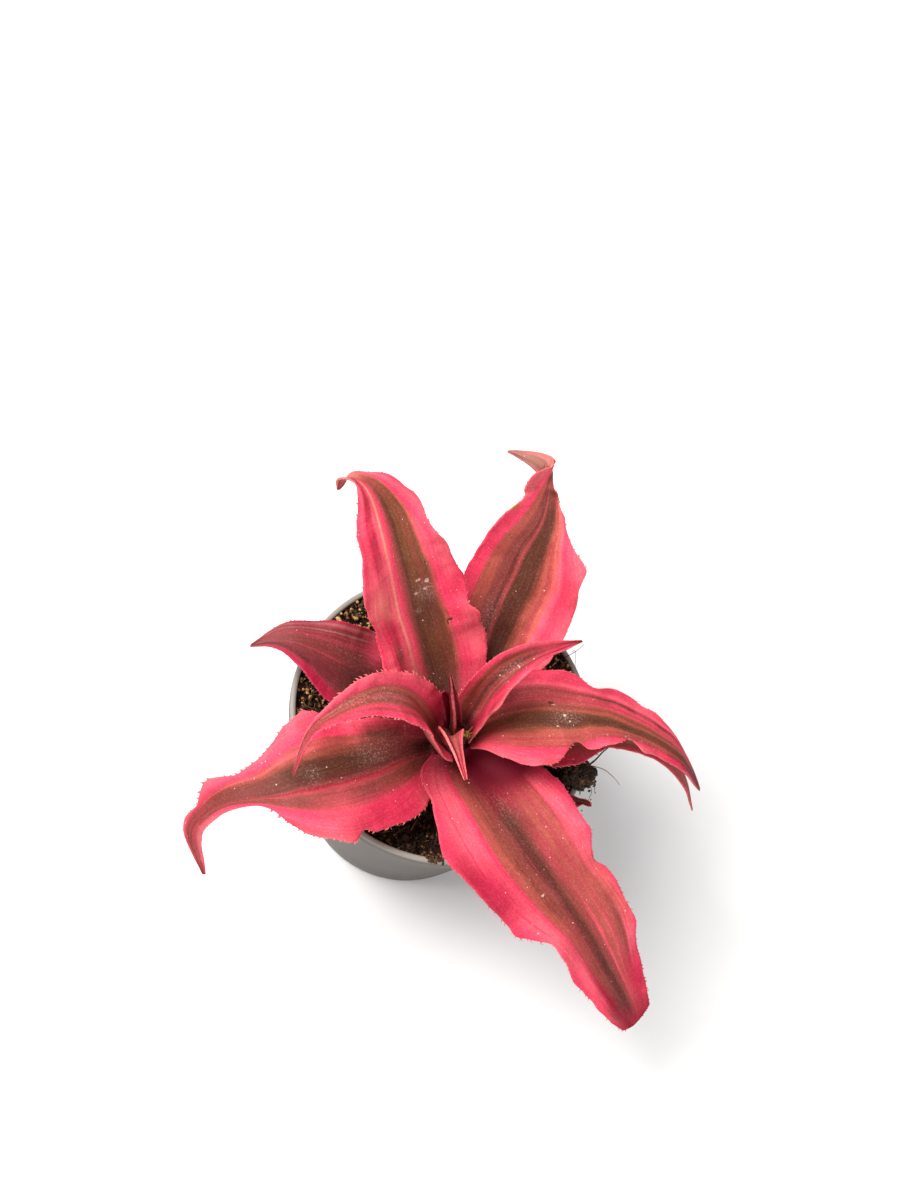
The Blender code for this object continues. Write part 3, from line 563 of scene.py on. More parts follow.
# How far the streaks, clouds and grain of a leaf darken and brighten its stripes, as ramps of factors
STREAKS = [(0.25, (0.78, 0.7, 0.7)), (0.5, (1.0, 1.0, 1.0)), (0.75, (1.15, 1.28, 1.22))]
CLOUDS = [(0.3, (0.86, 0.8, 0.8)), (0.7, (1.08, 1.1, 1.1))]
MOTTLE = [(0.3, (0.8, 0.72, 0.72)), (0.7, (1.13, 1.22, 1.18))]

# Tones of the potting mix, from its damp peat to its freshest bark
BARK = [
    (0.0, (0.011, 0.006, 0.004)),
    (0.38, (0.035, 0.016, 0.008)),
    (0.62, (0.09, 0.04, 0.018)),
    (0.78, (0.27, 0.12, 0.03)),
    (0.92, (0.5, 0.28, 0.075)),
    (1.0, (0.62, 0.45, 0.2)),
]

# Tones of the stem's fibres and of the granules
STEM_TONES = [(0.3, (0.06, 0.02, 0.012)), (0.55, (0.2, 0.05, 0.03)), (0.8, (0.36, 0.12, 0.07))]
GRANULE_TONES = [(0.3, (0.2, 0.13, 0.035)), (0.6, (0.42, 0.31, 0.11)), (0.8, (0.6, 0.5, 0.24))]


# Settings


def tint_setting(name, about, default):
    """A colour that a user can change."""
    return FloatVectorProperty(
        name=name,
        description=about,
        subtype="COLOR",
        size=3,
        min=0.0,
        max=1.0,
        default=default,
    )


def length_setting(name, about, default, least, most):
    """A length in metres that a user can change."""
    return FloatProperty(
        name=name,
        description=about,
        subtype="DISTANCE",
        unit="LENGTH",
        min=least,
        max=most,
        default=default,
    )


def power_setting(name, about, default):
    """The power of a light, in watts, that a user can change."""
    return FloatProperty(
        name=name,
        description=about,
        subtype="POWER",
        unit="POWER",
        min=0.0,
        max=100.0,
        default=default,
    )


def count_setting(name, about, default, least, most):
    """A whole number that a user can change."""
    return IntProperty(name=name, description=about, min=least, max=most, default=default)


class PotSettings(bpy.types.PropertyGroup):
    # The plastic's default is made darker and warmer by painted shade and a painted warm reflection.
    colour: tint_setting("Plastic", "Colour of the moulded plastic", (0.092, 0.07, 0.052))
    # The lighter colour on the top of the lip is a painted highlight; on the scuffs it is rubbed plastic.
    wear_and_highlight: tint_setting("Wear", "Paler colour of the rim's edge and of the scuffs", (0.33, 0.305, 0.27))
    # Colour that darkens the inner wall below the lip
    inner_wall_dark: tint_setting("Grime", "Colour of the damp dust inside the wall", (0.035, 0.024, 0.016))
    roughness: FloatProperty(
        name="Roughness",
        description="How dull the plastic is",
        subtype="FACTOR",
        min=0.0,
        max=1.0,
        default=0.36,
    )
    sides: count_setting("Sides", "Flats around the pot's wall", 144, 24, 256)


class MixSettings(bpy.types.PropertyGroup):
    bits: count_setting("Bits", "Crumbs, chips and splinters that lie on the mix", 6000, 0, 9000)
    fibres: count_setting("Fibres", "Loose fibres among the bits", 220, 0, 1000)
    crumb: length_setting("Crumb", "Usual size of a crumb", 0.0008, 0.0002, 0.003)


class LeafSettings(bpy.types.PropertyGroup):
    ripple: length_setting("Ripple", "Height of the small waves along the margins", 0.00036, 0.0, 0.001)
    waver: length_setting("Waver", "How far the outline wavers in and out", 0.00022, 0.0, 0.001)
    relief: length_setting("Relief", "Height of the fine ridges along the blade", 0.00012, 0.0, 0.0005)
    swell: length_setting("Swell", "Height of the soft swells near the margins", 0.0012, 0.0, 0.003)
    spine_length: length_setting("Spine length", "Usual length of a marginal spine", 0.00098, 0.0001, 0.002)
    spine_pitch: length_setting("Spine pitch", "Usual distance between spines", 0.00115, 0.0005, 0.01)


class StageSettings(bpy.types.PropertyGroup):
    floor: tint_setting("Floor", "Colour of the studio floor", (0.93, 0.93, 0.93))
    daylight: FloatProperty(
        name="Surroundings",
        description="Strength of the even light from all around",
        min=0.0,
        max=5.0,
        default=0.42,
    )
    key: power_setting("Key light", "Power of the large soft light", 8.0)
    fill: power_setting("Fill light", "Power of the light on the other side", 1.8)
    lens: FloatProperty(
        name="Lens",
        description="Focal length of the camera",
        subtype="DISTANCE_CAMERA",
        unit="CAMERA",
        min=10.0,
        max=300.0,
        default=50.0,
    )


# Finishes


class Value:
    """What a socket gives. Arithmetic on a number adds the Math nodes that work it out."""

    def __init__(self, paint, socket):
        self.paint = paint
        self.socket = socket

    def __add__(self, other):
        return self.paint.math("ADD", self, other)

    def __sub__(self, other):
        return self.paint.math("SUBTRACT", self, other)

    def __rsub__(self, other):
        return self.paint.math("SUBTRACT", other, self)

    def __mul__(self, other):
        return self.paint.math("MULTIPLY", self, other)

    def __abs__(self):
        return self.paint.math("ABSOLUTE", self)

    __radd__ = __add__
    __rmul__ = __mul__

    def rise(self, low, high):
        """0 up to low and 1 from high on, with a smooth step between. It falls where low is over high."""
        ends = {"Value": self, "From Min": low, "From Max": high}
        return self.paint.out("MapRange", {"interpolation_type": "SMOOTHSTEP"}, ends)

    def hump(self, middle, spread):
        """1 at middle, falling smoothly to 0 at spread from it."""
        return abs(self - middle).rise(spread, 0.0)


class Paint:
    """A material and the nodes that paint it."""

    def __init__(self, name):
        self.material = bpy.data.materials.new(name)
        self.material.use_nodes = True
        self.tree = self.material.node_tree
        self.tree.nodes.clear()

    def node(self, kind, settings=None, sockets=None):
        """Adds a node, with its settings made first. A socket takes a number, a colour or a Value."""
        made = self.tree.nodes.new("ShaderNode" + kind)
        for name, setting in (settings or {}).items():
            if name == "stops":
                self.set_stops(made.color_ramp.elements, setting)
            else:
                setattr(made, name, setting)
        for name, given in (sockets or {}).items():
            if isinstance(given, Value):
                self.tree.links.new(given.socket, made.inputs[name])
            else:
                made.inputs[name].default_value = given
        return made

    def set_stops(self, elements, stops):
        while len(elements) < len(stops):
            elements.new(1.0)
        for element, (place, colour) in zip(elements, stops):
            element.position = place
            element.color = (*colour, 1.0)

    def out(self, kind, settings=None, sockets=None, output=0):
        made = self.node(kind, settings, sockets)
        return Value(self, made.outputs[output])

    def math(self, operation, *terms):
        return self.out("Math", {"operation": operation}, dict(enumerate(terms)))

    def mix(self, factor, first, second, blend="MIX"):
        """Colour between first and second. A colour is a Value or three numbers."""
        first, second = (c if isinstance(c, Value) else (*c, 1.0) for c in (first, second))
        settings = {"data_type": "RGBA", "blend_type": blend}
        return self.out("Mix", settings, {0: factor, 6: first, 7: second}, 2)

    def ramp(self, value, stops):
        """Colour at value along a ramp of (place, colour) stops."""
        return self.out("ValToRGB", {"stops": stops}, {"Fac": value}, "Color")

    def attribute(self, name, output="Vector"):
        return self.out("Attribute", {"attribute_name": name}, output=output)

    def split(self, vector):
        made = self.node("SeparateXYZ", sockets={0: vector})
        return [Value(self, socket) for socket in made.outputs]

    def join(self, x, y, z):
        return self.out("CombineXYZ", sockets={0: x, 1: y, 2: z})

    def place(self):
        """Where the surface is, in millimetres."""
        where = self.out("TexCoord", output="Object")
        return self.out("VectorMath", {"operation": "SCALE"}, {0: where, "Scale": 1 / MM})

    def shift(self, vector, by):
        return self.out("VectorMath", {"operation": "ADD"}, {0: vector, 1: (by, by, by)})

    def noise(self, vector, scale, detail=2.0, rough=0.5):
        sockets = {"Vector": vector, "Scale": scale, "Detail": detail, "Roughness": rough}
        return self.out("TexNoise", None, sockets)

    def cells(self, vector, scale):
        """Distance to the nearest of scattered points, and two random numbers for that point."""
        made = self.node("TexVoronoi", None, {"Vector": vector, "Scale": scale})
        chances = self.split(Value(self, made.outputs["Color"]))
        return Value(self, made.outputs["Distance"]), chances[0], chances[1]

    def specks(self, vector, scale, radius, share):
        """Mask of small round specks of about that radius, on a share of the scattered points."""
        far, chance, pick = self.cells(vector, scale)
        size = radius * scale * (0.5 + chance)
        return (far - size).rise(0.3 * radius * scale, 0.0) * pick.rise(share, share - 0.02)

    def bump(self, height, distance, strength=1.0, under=None):
        """Normal of a surface raised by up to distance, in millimetres, as height goes from 0 to 1."""
        sockets = {"Height": height, "Distance": distance * MM, "Strength": strength}
        if under is not None:
            sockets["Normal"] = under
        return self.out("Bump", None, sockets)

    def surface(self, **sockets):
        """Ends the material in a Principled surface. A socket's name is written with underscores."""
        named = {name.replace("_", " "): value for name, value in sockets.items()}
        shader = self.node("BsdfPrincipled", None, named)
        self.tree.links.new(shader.outputs[0], self.node("OutputMaterial").inputs[0])
        return self.material


def leaf_stripes(leaf):
    """The ramp stops of a leaf, from its left margin at 0 to its right margin at 1."""
    return [(0.5 + 0.5 * place, COLOURS[name]) for place, name in leaf["stripes"]]


def leaf_finish(name, leaf, settings):
    """Striped blade: fine streaks, pale scales, greyer underside, painted shade at its base, painted
    highlight at its rim.
    """
    paint = Paint(name + "_skin")
    seed = 10.0 * list(LEAVES).index(name)
    vein, share, under = paint.split(paint.attribute("blade"))
    along, edge, spine = paint.split(paint.attribute("margin"))
    place = paint.place()

    # Patterns: fine and broad streaks along the blade, and blotches and a grain that follow nothing
    fine = paint.noise(paint.join(vein * 34.0, along * 0.13, seed), 1.0, 3.0, 0.6)
    broad = paint.noise(paint.join(vein * 9.0, along * 0.05, seed + 3.0), 1.0, 2.0)
    blotch = paint.noise(place, 0.22, 3.0, 0.55)
    grain = paint.noise(place, 2.8, 3.0, 0.65)

    # Stripes with frayed edges, the patches that break them up, many of them painted light and shade, and
    # the patterns over both
    shifted = vein + (fine - 0.5) * 0.07 + (broad - 0.5) * 0.12 + (blotch - 0.5) * 0.08
    colour = paint.ramp(shifted * 0.5 + 0.5, leaf_stripes(leaf))
    for across, where, wide, long, shade, strength in leaf["patches_and_painted_light"]:
        patch = (vein + (broad - 0.5) * 0.2).hump(across, wide)
        patch = patch * (share + (blotch - 0.5) * 0.06).hump(where, long)
        colour = paint.mix(patch * strength, colour, COLOURS[shade])
    for amount, pattern, factors in ((0.75, fine, STREAKS), (0.8, blotch, CLOUDS), (0.8, grain, MOTTLE)):
        colour = paint.mix(amount, colour, paint.ramp(pattern, factors), "MULTIPLY")

    # Painted shade over the base, deep in the rosette, and the leaf's own crimson tip
    colour = paint.mix(share.rise(leaf["heart"], 0.0) * 0.92, colour, COLOURS["heart"], "MULTIPLY")
    colour = paint.mix(share.rise(0.93, 1.0) * 0.5, colour, COLOURS["crimson"])

    # A film of pale scales, thickest in the scurfy patches
    scales = (fine * 0.2 + grain * 0.8).rise(0.5, 0.62)
    film = scales * (0.02 + 0.1 * blotch)
    for across, where, wide, long, strength in leaf["scurf"]:
        patch = vein.hump(across, wide) * share.hump(where, long)
        film = film + patch * (0.12 + 0.6 * scales) * strength
    colour = paint.mix(film, colour, COLOURS["scales"])

    # Ragged scars, and a painted shadow drawn the same way
    for across, where, wide, long, shade in leaf["scars_and_painted_shadow"]:
        ragged = (grain - 0.5) * 0.02
        mark = (vein + ragged * 3.0).hump(across, wide) * (share + ragged).hump(where, long)
        colour = paint.mix(mark.rise(0.1, 0.5), colour, COLOURS[shade])

    # Underside
    belly = paint.mix(leaf["belly"], colour, COLOURS["grey pink"])
    belly = paint.mix(fine.rise(0.45, 0.7) * leaf["belly"], belly, COLOURS["belly streak"])
    colour = paint.mix(under.rise(0.4, 0.6), colour, belly)

    # Painted highlight as a pale line along the margin, specks, and spines with dark tips
    rim = edge.rise(0.22, 0.0) * grain.rise(0.35, 0.6)
    colour = paint.mix(rim * leaf["rim"], colour, COLOURS["pale"])
    specks = paint.specks(paint.shift(place, 40.0), 1.3, 0.06, 0.3) * blotch.rise(0.45, 0.6)
    specks = paint.specks(place, 0.6, 0.09, 0.34) + specks
    colour = paint.mix(specks * 0.7, colour, COLOURS["speck"])
    colour = paint.mix(spine.rise(0.1, 0.6) * 0.6, colour, COLOURS["pale"])
    colour = paint.mix(spine.rise(0.6, 1.0), colour, COLOURS["spine tip"])

    # Painted shade: a leaf in shadow is darkened as a whole
    if "shade" in leaf:
        dim = leaf["shade"]
        colour = paint.mix(1.0, colour, (dim, dim * dim, dim), "MULTIPLY")

    # Soft swells towards the margins, under the relief of the patterns
    swell = paint.noise(paint.join(vein * 0.9, along * 0.2, seed + 6.0), 1.0, 2.0, 0.4)
    waves = paint.bump(swell * abs(vein).rise(0.2, 0.8), settings.swell / MM)
    relief = fine * 0.55 + broad * 0.3 + grain * 0.15 + specks * 0.2
    rough = 0.52 + 0.16 * grain + 0.2 * film
    return paint.surface(
        Base_Color=colour,
        Roughness=rough,
        Normal=paint.bump(relief, settings.relief / MM, 0.8, waves),
        Specular_IOR_Level=0.14,
        Subsurface_Weight=0.08,
        Subsurface_Radius=(1.0, 0.35, 0.25),
        Subsurface_Scale=0.0012,
    )


def pot_finish(settings):
    """Grey moulded plastic with faint turning lines, scuffs, a darker inner wall and a few dark grains."""
    paint = Paint("nursery_pot_plastic")
    place = paint.place()
    x, y, z = paint.split(place)
    cloud = paint.noise(place, 0.12, 3.0)
    scuff = paint.noise(paint.join(x * 0.5, y * 0.5, z * 5.0), 0.6, 4.0, 0.65)
    grain = paint.noise(place, 7.0, 2.0)
    colour = paint.mix(cloud.rise(0.3, 0.7), tuple(0.9 * c for c in settings.colour), settings.colour)
    colour = paint.mix(scuff.rise(0.55, 0.75) * 0.15, colour, settings.wear_and_highlight)
    # Painted highlight: the top of the lip takes the lighter scuffed colour
    lip = z.rise(POT_HEIGHT - 0.9, POT_HEIGHT - 0.2)
    colour = paint.mix(lip * 0.9, colour, settings.wear_and_highlight)
    # The inner wall darkens below the lip, down to near the floor
    inside = (x * x + y * y).rise((RIM_RADIUS - 0.9) ** 2, (RIM_RADIUS - 1.3) ** 2)
    darker_inside = inside * z.rise(POT_HEIGHT - 0.4, POT_HEIGHT - 1.0) * z.rise(2.0, 4.0) * (0.6 + 0.4 * cloud)
    colour = paint.mix(darker_inside, colour, settings.inner_wall_dark)
    dirt = paint.specks(place, 0.55, 0.16, 0.22)
    colour = paint.mix(dirt * z.rise(30.0, 44.0), colour, BARK[1][1])
    rough = settings.roughness + 0.12 * scuff + 0.3 * dirt
    relief = 0.5 * grain + 0.5 * scuff
    return paint.surface(
        Base_Color=colour, Roughness=rough, Normal=paint.bump(relief, 0.03), Specular_IOR_Level=0.26
    )


def bed_finish():
    """Damp peat between the chips."""
    paint = Paint("peat")
    place = paint.place()
    lumps = paint.noise(place, 1.1, 4.0, 0.65)
    colour = paint.ramp(lumps, [(0.3, BARK[0][1]), (0.7, BARK[1][1]), (0.85, BARK[2][1])])
    return paint.surface(
        Base_Color=colour, Roughness=0.95, Normal=paint.bump(lumps, 0.4), Specular_IOR_Level=0.2
    )


def bark_finish(name):
    """Chips and fibres, each of its own tone, with a fibrous grain."""
    paint = Paint(name)
    place = paint.place()
    shade = paint.attribute("tone", "Fac")
    fibres = paint.noise(place, 3.0, 3.0, 0.7)
    colour = paint.ramp(shade + (fibres - 0.5) * 0.22, BARK)
    relief = paint.bump(fibres, 0.12)
    return paint.surface(
        Base_Color=colour, Roughness=0.5 + 0.4 * fibres, Normal=relief, Specular_IOR_Level=0.36
    )


def stem_finish():
    """Brown stem with the dark, dry bases of old leaves."""
    paint = Paint("stem_skin")
    place = paint.place()
    x, y, z = paint.split(place)
    fibres = paint.noise(paint.join(x * 4.0, y * 4.0, z * 0.5), 1.0, 3.0)
    colour = paint.ramp(fibres, STEM_TONES)
    return paint.surface(Base_Color=colour, Roughness=0.6, Normal=paint.bump(fibres, 0.2))


def granule_finish():
    """Yellowish granules with a dull, pitted skin."""
    paint = Paint("granule_skin")
    pits = paint.noise(paint.place(), 3.0, 3.0)
    colour = paint.ramp(pits, GRANULE_TONES)
    return paint.surface(Base_Color=colour, Roughness=0.6, Normal=paint.bump(pits, 0.15))


def floor_finish(colour):
    """Pale, matt floor, hardly flecked."""
    paint = Paint("studio_floor")
    fleck = paint.noise(paint.place(), 0.05, 2.0)
    shade = paint.mix(fleck, tuple(0.99 * c for c in colour), colour)
    return paint.surface(Base_Color=shade, Roughness=0.9, Specular_IOR_Level=0.1)


# Meshes


class Shape:
    """Points in millimetres, the faces between them and the numbers that each point carries."""

    def __init__(self, **carried):
        self.carried = {name: [] for name in carried}
        self.kinds = carried
        self.points = []
        self.faces = []
        self.count = 0

    def add(self, points, faces, **values):
        """Adds points, faces that count from the first of them, and a value or an array for each name."""
        points = np.asarray(points, float)
        self.points.append(points)
        self.faces.extend([[self.count + corner for corner in face] for face in faces])
        for name, width in self.kinds.items():
            wanted = (len(points), width) if width > 1 else (len(points),)
            self.carried[name].append(np.broadcast_to(np.asarray(values[name], float), wanted))
        self.count += len(points)

    def piece(self, name, material, slot, *nodes):
        """Makes the smooth-shaded object, with what its points carry as attributes of its mesh."""
        mesh = bpy.data.meshes.new(name)
        mesh.from_pydata(np.concatenate(self.points) * MM, [], self.faces)
        for carried, width in self.kinds.items():
            kind = "FLOAT_VECTOR" if width > 1 else "FLOAT"
            layer = mesh.attributes.new(carried, kind, "POINT")
            values = np.concatenate(self.carried[carried]).astype(np.float32).ravel()
            layer.data.foreach_set("vector" if width > 1 else "value", values)
        mesh.shade_smooth()
        return seat(name, mesh, material, slot, *nodes)


def seat(name, mesh, material, slot, *nodes):
    """Makes the object of a mesh, riding on the plant's body in place of its solids."""
    mesh.materials.append(material)
    made = bpy.data.objects.new(name, mesh)
    bpy.context.scene.collection.objects.link(made)
    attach(made, BODY)
    if nodes:
        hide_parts(*nodes)
    return made


def unit(vectors):
    """The vectors, each brought to length 1."""
    return vectors / np.maximum(np.linalg.norm(vectors, axis=-1, keepdims=True), 1e-9)


def band(rings, size):
    """Faces between closed rings of that many points, one ring after the other."""
    faces = []
    for ring in range(rings - 1):
        for corner in range(size):
            after = (corner + 1) % size
            low = ring * size
            faces.append((low + corner, low + after, low + size + after, low + size + corner))
    return faces


def caps(rings, size):
    """Faces that close such a stack. They meet at two more points, beyond its first ring and its last."""
    total = rings * size
    last = total - size
    faces = [(total, (corner + 1) % size, corner) for corner in range(size)]
    faces += [(total + 1, last + corner, last + (corner + 1) % size) for corner in range(size)]
    return faces


def ball(subdivisions):
    """Points and faces of a unit ball: 20 faces, and four times as many for each further subdivision."""
    shape = bmesh.new()
    bmesh.ops.create_icosphere(shape, subdivisions=subdivisions, radius=1.0)
    points = np.array([point.co for point in shape.verts])
    faces = [[corner.index for corner in face.verts] for face in shape.faces]
    shape.free()
    return points, faces


def tube(path, radii, sides):
    """Points and faces of a closed, tapering round strand along a path."""
    path = np.asarray(path, float)
    radii = np.broadcast_to(radii, len(path))
    heading = unit(np.gradient(path, axis=0))
    across = unit(np.cross(heading, [0.12, 0.31, 0.94]))
    over = np.cross(heading, across)
    turn = 2 * pi * np.arange(sides) / sides
    spread = across[:, None] * np.cos(turn)[None, :, None] + over[:, None] * np.sin(turn)[None, :, None]
    points = (path[:, None] + spread * radii[:, None, None]).reshape(-1, 3)
    last = len(points) - sides
    faces = band(len(path), sides)
    faces.append(tuple(range(sides))[::-1])
    faces.append(tuple(range(last, last + sides)))
    return points, faces


def curve_through(points, steps):
    """Smooth curve through a few points."""
    points = np.asarray(points, float)
    ends = np.vstack([2 * points[0] - points[1], points, 2 * points[-1] - points[-2]])
    place = np.linspace(0, len(points) - 1, steps)
    span = np.minimum(place.astype(int), len(points) - 2)
    part = (place - span)[:, None]
    a, b, c, d = (ends[span + step] for step in range(4))
    square = (2 * a - 5 * b + 4 * c - d) * part**2
    cube = (3 * b - a - 3 * c + d) * part**3
    return 0.5 * (2 * b + (c - a) * part + square + cube)


# Leaves


def through(rows, count):
    """Points of a smooth curve through the rows, closer towards the tip, with share and length so far."""
    fine = curve_through(rows, 40 * (len(rows) - 1) + 1)
    steps = np.linalg.norm(np.diff(fine[:, :3], axis=0), axis=1)
    length = np.concatenate([[0.0], np.cumsum(steps)])
    share = 1 - (1 - np.linspace(0, 1, count + 1)) ** TIP_CROWDING
    line = np.stack([np.interp(share * length[-1], length, column) for column in fine.T], axis=-1)
    return share, share * length[-1], line


def blade_axes(rib, course, bank):
    """Directions to the left and upwards out of the blade at each point of the midrib."""
    heading = unit(np.gradient(rib, axis=0))
    left = np.cross([0.0, 0.0, 1.0], unit(course))
    left = unit(left - (heading @ left)[:, None] * heading)
    up = np.cross(heading, left)
    return left * np.cos(bank) + up * np.sin(bank), up * np.cos(bank) - left * np.sin(bank)


def wander(along, seed, pitch):
    """A smooth random wave from about -1 to 1 at each place along a line."""
    return np.array([noise.noise((place / pitch, seed, 0.5)) for place in along]) * 1.6


def blade(name, leaf, settings):
    """Upper surface of a leaf as a grid of points, with what its finish needs to know of each point."""
    along, across = leaf["grid"]
    share, length, line = through(leaf["rows"], along)
    rib = line[:, :3]
    fold = np.radians(line[:, 6:7])
    course = np.array([leaf["rows"][-2][0] - rib[0, 0], leaf["rows"][-2][1] - rib[0, 1], 0.0])
    left, up = blade_axes(rib, course, np.radians(line[:, 5:6]))
    height, left_waves, left_start, right_waves, right_start = leaf["ruffle"]
    seed = 3.7 * list(LEAVES).index(name)
    drift = np.interp(share, *zip(*leaf["drift"]))
    surface = np.zeros((along + 1, across + 1, 3))
    halves = np.zeros((along + 1, across + 1))
    veins = np.zeros((along + 1, across + 1))
    for column, place in enumerate(np.linspace(-1, 1, across + 1)):
        side = -1 if place < 0 else 1
        out = abs(place)
        # The half width, with its lobes and its wavering outline
        whole = np.maximum(line[:, 3 if side < 0 else 4], NARROWEST)
        if "blunt" in leaf:
            whole = whole * np.sqrt(np.clip((1 - share) / leaf["blunt"], 0.0004, 1))
        half = whole
        for where, middle, change, spread in leaf["lobes"]:
            if where == side:
                half = half * (1 + change * np.exp(-(((share - middle) / spread) ** 2)))
        full = np.minimum(1, half / WAVY_WIDTH)
        half = half + full * settings.waver / MM * wander(length, seed + side, WAVER_PITCH)
        # How far out and how far up the cup takes this column
        steps = (np.arange(CUP_STEPS) + 0.5) / CUP_STEPS * out
        slope = fold * np.minimum(1, steps / CUP_START)
        reach = half * np.cos(slope).mean(axis=1) * out
        lift = half * np.sin(slope).mean(axis=1) * out
        # The ruffle and the ripple along the margin
        waves, start = (left_waves, left_start) if side < 0 else (right_waves, right_start)
        swell = np.sin(pi * share) ** 0.7 * full
        lift = lift + height * out**2 * swell * np.sin(2 * pi * (waves * share + start))
        lift = lift + settings.ripple / MM * out**4 * swell * wander(length, seed + 2 * side, RIPPLE_PITCH)
        surface[:, column] = rib - side * left * reach[:, None] + up * lift[:, None]
        halves[:, column] = half
        veins[:, column] = place * half / whole - drift
    return {"share": share, "length": length, "surface": surface, "half": halves, "vein": veins}


def blade_skin(made):
    """Closed skin of a blade, thickest along the midrib: points, faces and what each point carries."""
    surface, half = made["surface"], made["half"]
    rows, columns = half.shape
    out = np.linspace(-1, 1, columns)[None, :]
    share = np.broadcast_to(made["share"][:, None], half.shape)
    normal = unit(np.cross(np.gradient(surface, axis=1), np.gradient(surface, axis=0)))
    thick = MARGIN_THICK + (RIB_THICK - MARGIN_THICK) * (1 - out**2) * (1 - share**3)
    thick = thick * np.clip(half / 0.7, 0.3, 1)
    bottom = surface - normal * thick[..., None]
    sideways = unit(surface[:, [0, -1]] - surface[:, [1, -2]])
    middle = 0.5 * (surface[:, [0, -1]] + bottom[:, [0, -1]]) + MARGIN_ROUND * sideways
    ring = [surface, middle[:, 1:], bottom[:, ::-1], middle[:, :1]]
    points = np.concatenate(ring, axis=1)
    edge = half * (1 - abs(out))

    def ringed(values, at_margin=None):
        rim = values[:, [0, -1]] if at_margin is None else np.full((rows, 2), at_margin)
        return np.concatenate([values, rim[:, 1:], values[:, ::-1], rim[:, :1]], axis=1)

    # The finish reads two attributes: place across, place along and 1 on the underside, then the length so
    # far, the distance from the margin and 1 at the tip of a spine.
    under = np.zeros_like(half)
    under = np.concatenate([under, under[:, :1] + 0.5, under + 1.0, under[:, :1] + 0.5], axis=1)
    length = np.broadcast_to(made["length"][:, None], half.shape)
    blade_values = np.stack([ringed(made["vein"]), ringed(share), under], axis=-1)
    margin_values = np.stack([ringed(length), ringed(edge, 0.0), np.zeros_like(under)], axis=-1)
    size = points.shape[1]
    faces = band(rows, size) + caps(rows, size)
    foot, neck, tip = (points[row].mean(axis=0) for row in (0, -2, -1))
    ahead = tip + 0.3 * unit(tip - neck) * NARROWEST
    flat = np.vstack([points.reshape(-1, 3), foot, ahead])
    centre = columns // 2
    carried = [
        np.vstack([values.reshape(-1, 3), values[0, centre], values[-1, centre]])
        for values in (blade_values, margin_values)
    ]
    return flat, faces, *carried


def add_spines(shape, made, settings, rng, size):
    """Small hooked teeth along both margins, pointing forwards."""
    surface = made["surface"]
    rows = len(surface)
    for column, inner, vein in ((0, 1, -1.0), (-1, -2, 1.0)):
        margin = surface[:, column]
        sideways = unit(margin - surface[:, inner])
        forward = unit(np.gradient(margin, axis=0))
        upward = np.cross(forward, sideways) * (1 if vein < 0 else -1)
        run = np.concatenate([[0.0], np.cumsum(np.linalg.norm(np.diff(margin, axis=0), axis=1))])
        place = 3.0 + rng.uniform(0, 1)
        while place < run[-1] - 1.5:
            row = int(np.interp(place, run, np.arange(rows)))
            narrow = min(1.0, 0.35 + made["half"][row, column] / 5)
            long = size * settings.spine_length / MM * rng.uniform(0.5, 1.3) * narrow
            lean = rng.uniform(0.5, 1.1)
            foot = margin[row] - 0.15 * sideways[row] - 0.15 * upward[row]
            way = unit(sideways[row] + lean * forward[row])
            hook = unit(sideways[row] + 2.2 * lean * forward[row])
            path = [foot, foot + 0.5 * long * way, foot + 0.5 * long * way + 0.5 * long * hook]
            add_tooth(
                shape, path, forward[row], upward[row], long, vein, made["share"][row], made["length"][row]
            )
            place += settings.spine_pitch / MM * rng.uniform(0.55, 1.45)


def add_tooth(shape, path, forward, upward, long, vein, share, length):
    """One tooth: an oval base, a narrower waist and a point."""
    sides = TOOTH_SIDES
    turn = 2 * pi * np.arange(sides) / sides
    oval = np.cos(turn)[:, None] * forward * (0.08 + 0.22 * long) + np.sin(turn)[:, None] * upward * 0.14
    points = np.vstack([path[0] + oval, path[1] + 0.5 * oval, path[2]])
    faces = band(2, sides)
    faces += [(sides + corner, sides + (corner + 1) % sides, 2 * sides) for corner in range(sides)]
    faces.append(tuple(range(sides))[::-1])
    if vein < 0:
        faces = [face[::-1] for face in faces]
    spine = np.repeat([0.0, 0.5, 1.0], [sides, sides, 1])
    margin = np.stack([np.full_like(spine, length), np.zeros_like(spine), spine], axis=1)
    shape.add(points, faces, blade=(vein, share, 0.3), margin=margin)


def make_leaf(name, given, settings):
    """One leaf with its spiny margins. What its table leaves out is as on a plain leaf."""
    leaf = {**PLAIN_LEAF, **given}
    rng = np.random.default_rng(40 + list(LEAVES).index(name))
    made = blade(name, leaf, settings)
    points, faces, blade_values, margin_values = blade_skin(made)
    shape = Shape(blade=3, margin=3)
    shape.add(points, faces, blade=blade_values, margin=margin_values)
    add_spines(shape, made, settings, rng, leaf["spines"])
    slot = "leaf_withered" if name == "front_right_low" else "leaf"
    shape.piece("blade_" + name, leaf_finish(name, leaf, settings), slot, "leaf_" + name)


# Pot, mix and stem


def wall_radius(height):
    """Outer radius of the pot's wall at a height."""
    return FOOT_RADIUS + (RIM_RADIUS - LIP_PROUD - FOOT_RADIUS) * height / POT_HEIGHT


def arc(centre, radius, start, end, steps):
    """Points of an arc in the profile's plane, between two angles in degrees."""
    turns = np.radians(np.linspace(start, end, steps))
    return [(centre[0] + radius * cos(turn), centre[1] + radius * sin(turn)) for turn in turns]


